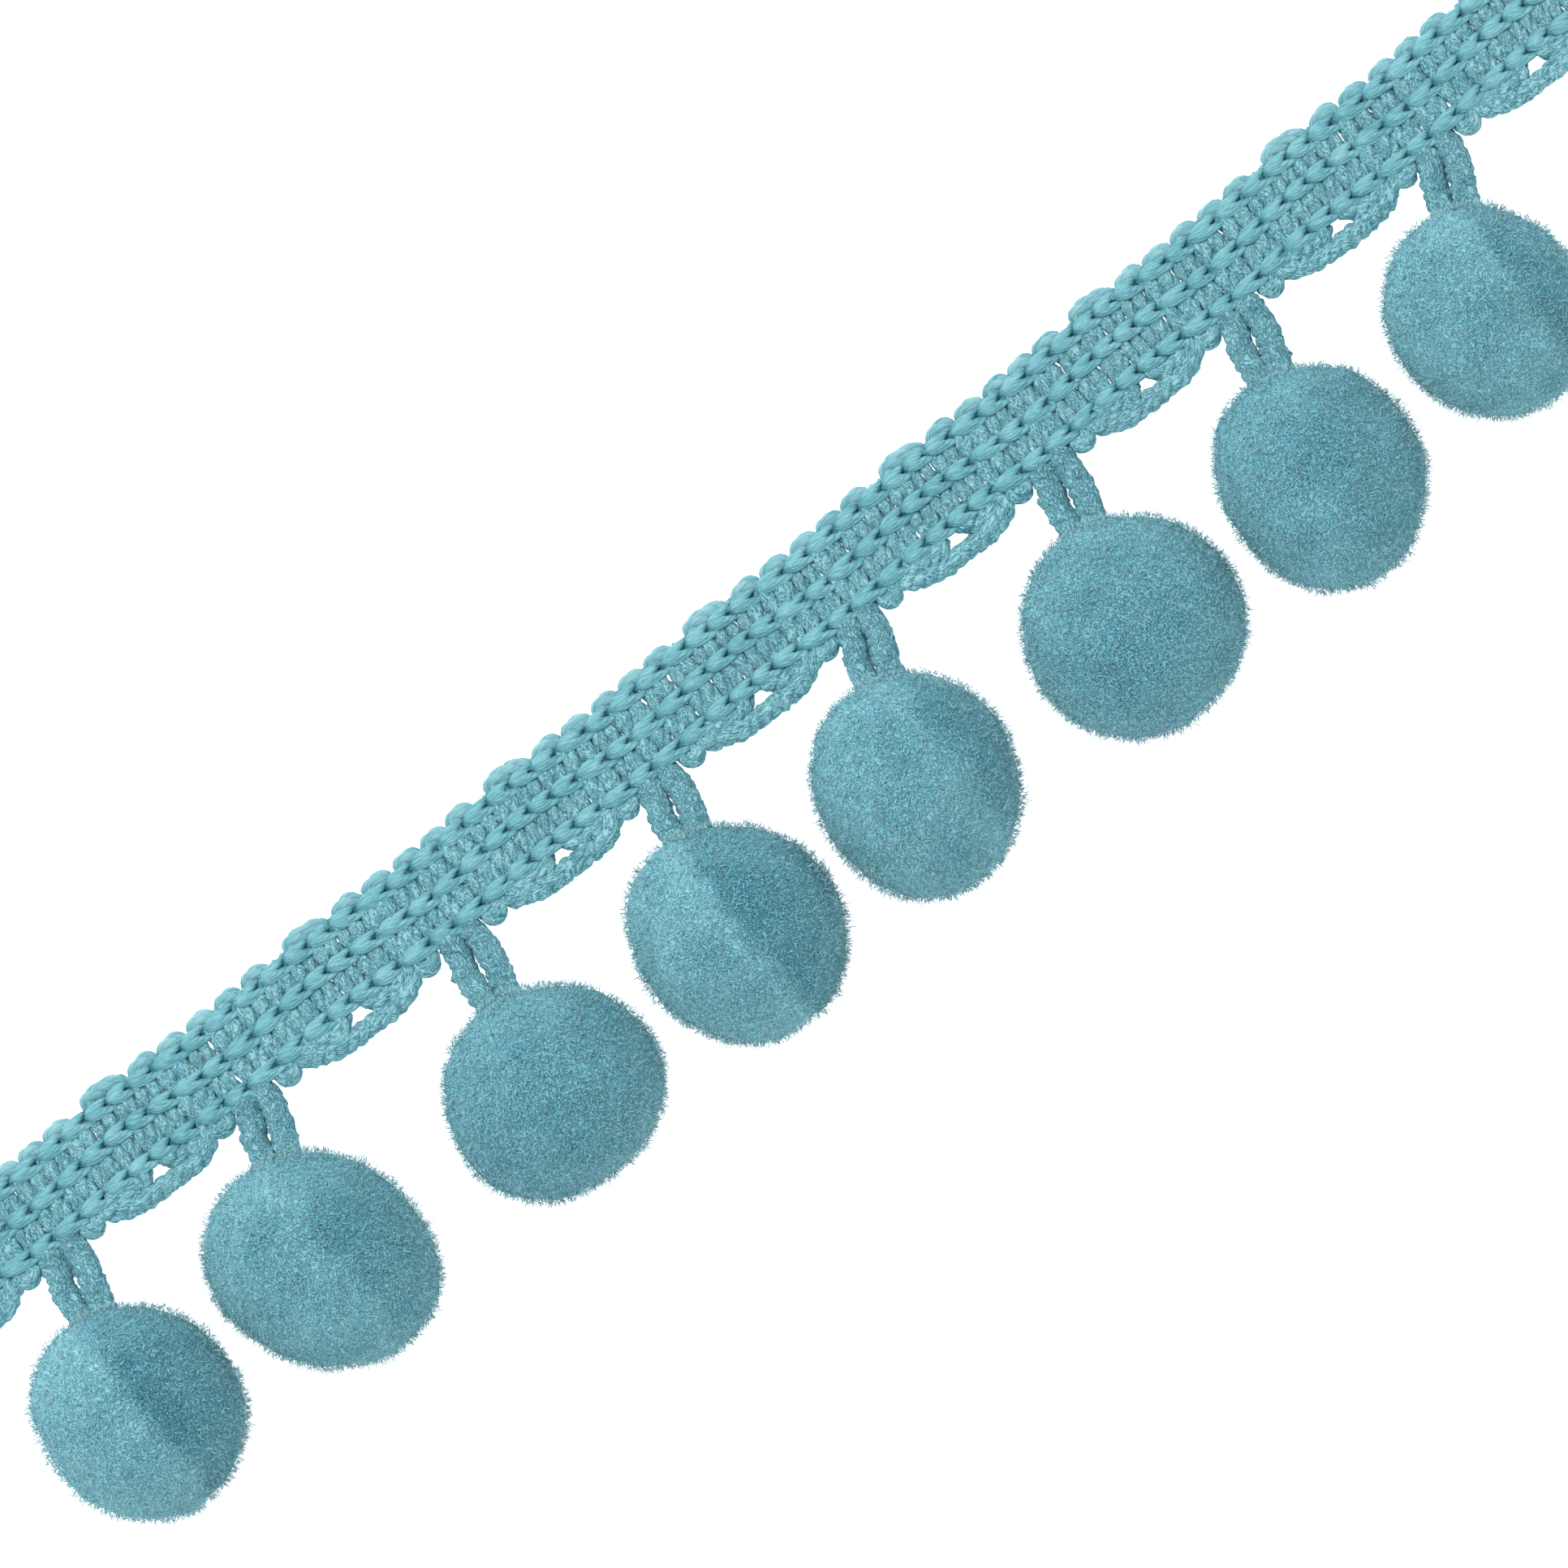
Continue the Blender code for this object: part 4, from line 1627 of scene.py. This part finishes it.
@dataclass
class Pompom:
    """One trimmed pile ball, grown on the smoothed form of its CAD solid."""

    number: int
    pile_tree: Recipe
    pile: bpy.types.Material
    partings: tuple[Parting, ...] = (
        Parting(0.8 * MM, 1.0),
        Parting(2.4 * MM, 0.55),
        Parting(5.0 * MM, 0.10),
        Parting(0.8 * MM, 1.0),
        Parting(4.2 * MM, 0.55),
        Parting(-6.0 * MM, 0.10),
        Parting(-1.0 * MM, 0.20),
        Parting(3.4 * MM, 0.80),
    )
    weld: float = 0.001 * MM
    smoothing: float = 0.5
    smoothing_rounds: int = 6
    rise: float = 0.05 * MM
    density: float = 6.7e6
    shortest: float = 0.60 * MM
    longest: float = 1.20 * MM
    width: float = 0.045 * MM
    hook: float = 9.0
    tufts: float = 2.4
    tuft_size: float = 2.0 * MM
    lean: float = 1.4
    lean_size: float = 4.0 * MM
    jitter: float = 1.1
    swell: float = 0.7 * MM
    swell_size: float = 4.5 * MM
    first_seed: int = 100

    def core(self) -> bpy.types.Mesh:
        """Make the ground that the pile stands on: the CAD solid, merged and smoothed.

        Returns:
            The ground, stood out a little.
        """
        source = frame["nodes"][f"pompom_{self.number}"]
        mesh = source.data.copy()
        helper = bpy.data.objects.new("ball_ground", mesh)
        bpy.context.scene.collection.objects.link(helper)
        weld = helper.modifiers.new("weld", "WELD")
        weld.merge_threshold = self.weld
        finer = helper.modifiers.new("finer", "SUBSURF")
        finer.levels = 1
        finer.render_levels = 1
        soft = helper.modifiers.new("soft", "SMOOTH")
        soft.factor = self.smoothing
        soft.iterations = self.smoothing_rounds
        risen = helper.modifiers.new("risen", "DISPLACE")
        risen.strength = self.rise
        risen.mid_level = 0.0
        depsgraph = bpy.context.evaluated_depsgraph_get()
        ground = bpy.data.meshes.new_from_object(helper.evaluated_get(depsgraph))
        bpy.data.objects.remove(helper, do_unlink=True)
        ground.materials.clear()
        return ground

    def build(self) -> bpy.types.Object:
        """Stand the pile on the ball's ground and return the piece."""
        name = f"pompom_pile_{self.number}"
        low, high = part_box(f"pompom_{self.number}")
        parting = self.partings[self.number - 1]
        made = self.pile_tree.run(self.core(), name, {
            "Density": self.density,
            "Shortest": self.shortest,
            "Longest": self.longest,
            "Width": self.width,
            "Hook": self.hook,
            "Tufts": self.tufts,
            "Tuft Size": self.tuft_size,
            "Lean": self.lean,
            "Lean Size": self.lean_size,
            "Jitter": self.jitter,
            "Swell": self.swell,
            "Swell Size": self.swell_size,
            "Parting X": 0.5 * (low.x + high.x) + parting.offset,
            "Parting Strength": parting.strength,
            "Seed": self.first_seed + self.number,
            "Floor": FLOOR_GAP,
            "End": HALF_LENGTH,
            "Material": self.pile,
        })
        return deliver(made, [f"pompom_{self.number}"])


@dataclass
class Studio:
    """The pale floor, the soft light and the camera straight above."""

    distance: float = 1200.0 * MM
    sensor: float = 36.0
    floor_size: float = 6.0
    floor_glow: float = 0.85
    key_power: float = 10.0
    key_size: float = 0.7
    key_place: tuple[float, float, float] = (-0.12, 0.50, 1.02)
    sky: float = 0.68

    def build(self) -> None:
        """Set the floor, the lights and the camera."""
        self.make_floor()
        self.make_lights()
        self.make_camera()
        view = bpy.context.scene.view_settings
        view.view_transform = "Standard"
        view.look = "None"

    def make_floor(self) -> None:
        """Lay the floor on which the trim rests."""
        half = self.floor_size / 2.0
        mesh = bpy.data.meshes.new("floor")
        corners = [(-half, -half, 0.0), (half, -half, 0.0), (half, half, 0.0), (-half, half, 0.0)]
        mesh.from_pydata(corners, [], [(0, 1, 2, 3)])
        material, board = blank_material("floor")
        output = board.add("ShaderNodeOutputMaterial")
        principled = board.add("ShaderNodeBsdfPrincipled")
        principled.inputs["Base Color"].default_value = (0.95, 0.95, 0.95, 1.0)
        principled.inputs["Roughness"].default_value = 0.9
        principled.inputs["Emission Color"].default_value = (1.0, 1.0, 1.0, 1.0)
        principled.inputs["Emission Strength"].default_value = self.floor_glow
        board.feed(output.inputs["Surface"], principled.outputs["BSDF"])
        mesh.materials.append(material)
        floor = bpy.data.objects.new("floor", mesh)
        bpy.context.scene.collection.objects.link(floor)

    def make_lights(self) -> None:
        """Set a bright even sky and one large soft key from beyond the braid."""
        world = bpy.data.worlds.new("sky")
        world.use_nodes = True
        background = world.node_tree.nodes["Background"]
        background.inputs["Color"].default_value = (1.0, 1.0, 1.0, 1.0)
        background.inputs["Strength"].default_value = self.sky
        bpy.context.scene.world = world
        lamp = bpy.data.lights.new("key", "AREA")
        lamp.size = self.key_size
        lamp.energy = self.key_power
        key = bpy.data.objects.new("key", lamp)
        key.location = PHOTO_MIDDLE + Vector(self.key_place)
        key.rotation_euler = (PHOTO_MIDDLE - key.location).to_track_quat("-Z", "Y").to_euler()
        bpy.context.scene.collection.objects.link(key)

    def make_camera(self) -> None:
        """Look straight down, turned as the photo is, with the photo's span in view."""
        lens = bpy.data.cameras.new("camera")
        lens.sensor_width = self.sensor
        lens.lens = self.sensor * self.distance / PHOTO_SPAN
        lens.clip_start = 0.01
        camera = bpy.data.objects.new("camera", lens)
        camera.location = PHOTO_MIDDLE + Vector((0.0, 0.0, self.distance))
        camera.rotation_euler = (0.0, 0.0, PHOTO_TURN)
        bpy.context.scene.collection.objects.link(camera)
        bpy.context.scene.camera = camera


SATIN = SatinYarn(
    name="satin_chain",
    dark=(0.024, 0.180, 0.250),
    middle=(0.150, 0.395, 0.450),
    light=(0.325, 0.620, 0.645),
    roughness=0.45,
    sheen=0.25,
    bump=0.45,
    bump_depth=0.10 * MM,
)
LOOP = SatinYarn(
    name="loop_gimp",
    dark=(0.035, 0.205, 0.280),
    middle=(0.180, 0.400, 0.450),
    light=(0.350, 0.600, 0.625),
    roughness=0.70,
    sheen=0.40,
    bump=0.70,
    bump_depth=0.16 * MM,
    full_thickness=0.80 * MM,
)
GIMP = CrimpedYarn(
    name="crimped_gimp",
    dark=(0.018, 0.140, 0.205),
    middle=(0.130, 0.355, 0.425),
    light=(0.350, 0.645, 0.685),
    roughness=0.85,
    sheen=0.35,
    bump=0.7,
    bump_depth=0.15 * MM,
)
CORD = CrimpedYarn(
    name="hanger_gimp",
    dark=(0.012, 0.110, 0.165),
    middle=(0.110, 0.325, 0.400),
    light=(0.320, 0.630, 0.685),
    roughness=0.85,
    sheen=0.35,
    bump=0.9,
    bump_depth=0.18 * MM,
    curl_size=0.60 * MM,
    curl_stretch=1.3,
)
PILE = TrimmedPile(
    name="trimmed_pile",
    dark=(0.014, 0.110, 0.165),
    middle=(0.088, 0.300, 0.380),
    light=(0.280, 0.600, 0.665),
    roughness=0.9,
    sheen=0.65,
    bump=0.8,
    bump_depth=0.18 * MM,
)


def main() -> None:
    """Dress the trim and set the scene."""
    lay = Lay()
    yarn_tree = yarn_recipe()
    pile_tree = pile_recipe()
    groups = Groups(noise_group("fibre_unevenness"), curl_group("curled_fibres"))
    satin = SATIN.material(groups)
    loop = LOOP.material(groups)
    gimp = GIMP.material(groups)
    cord = CORD.material(groups)
    pile = PILE.material(groups)
    Braid(lay, yarn_tree, satin, loop, gimp).build()
    for number in range(1, len(lay.hangers) + 1):
        Hanger(number, lay, yarn_tree, cord).build()
        Pompom(number, pile_tree, pile).build()
    Studio().build()


if __name__ == "__main__":
    main()
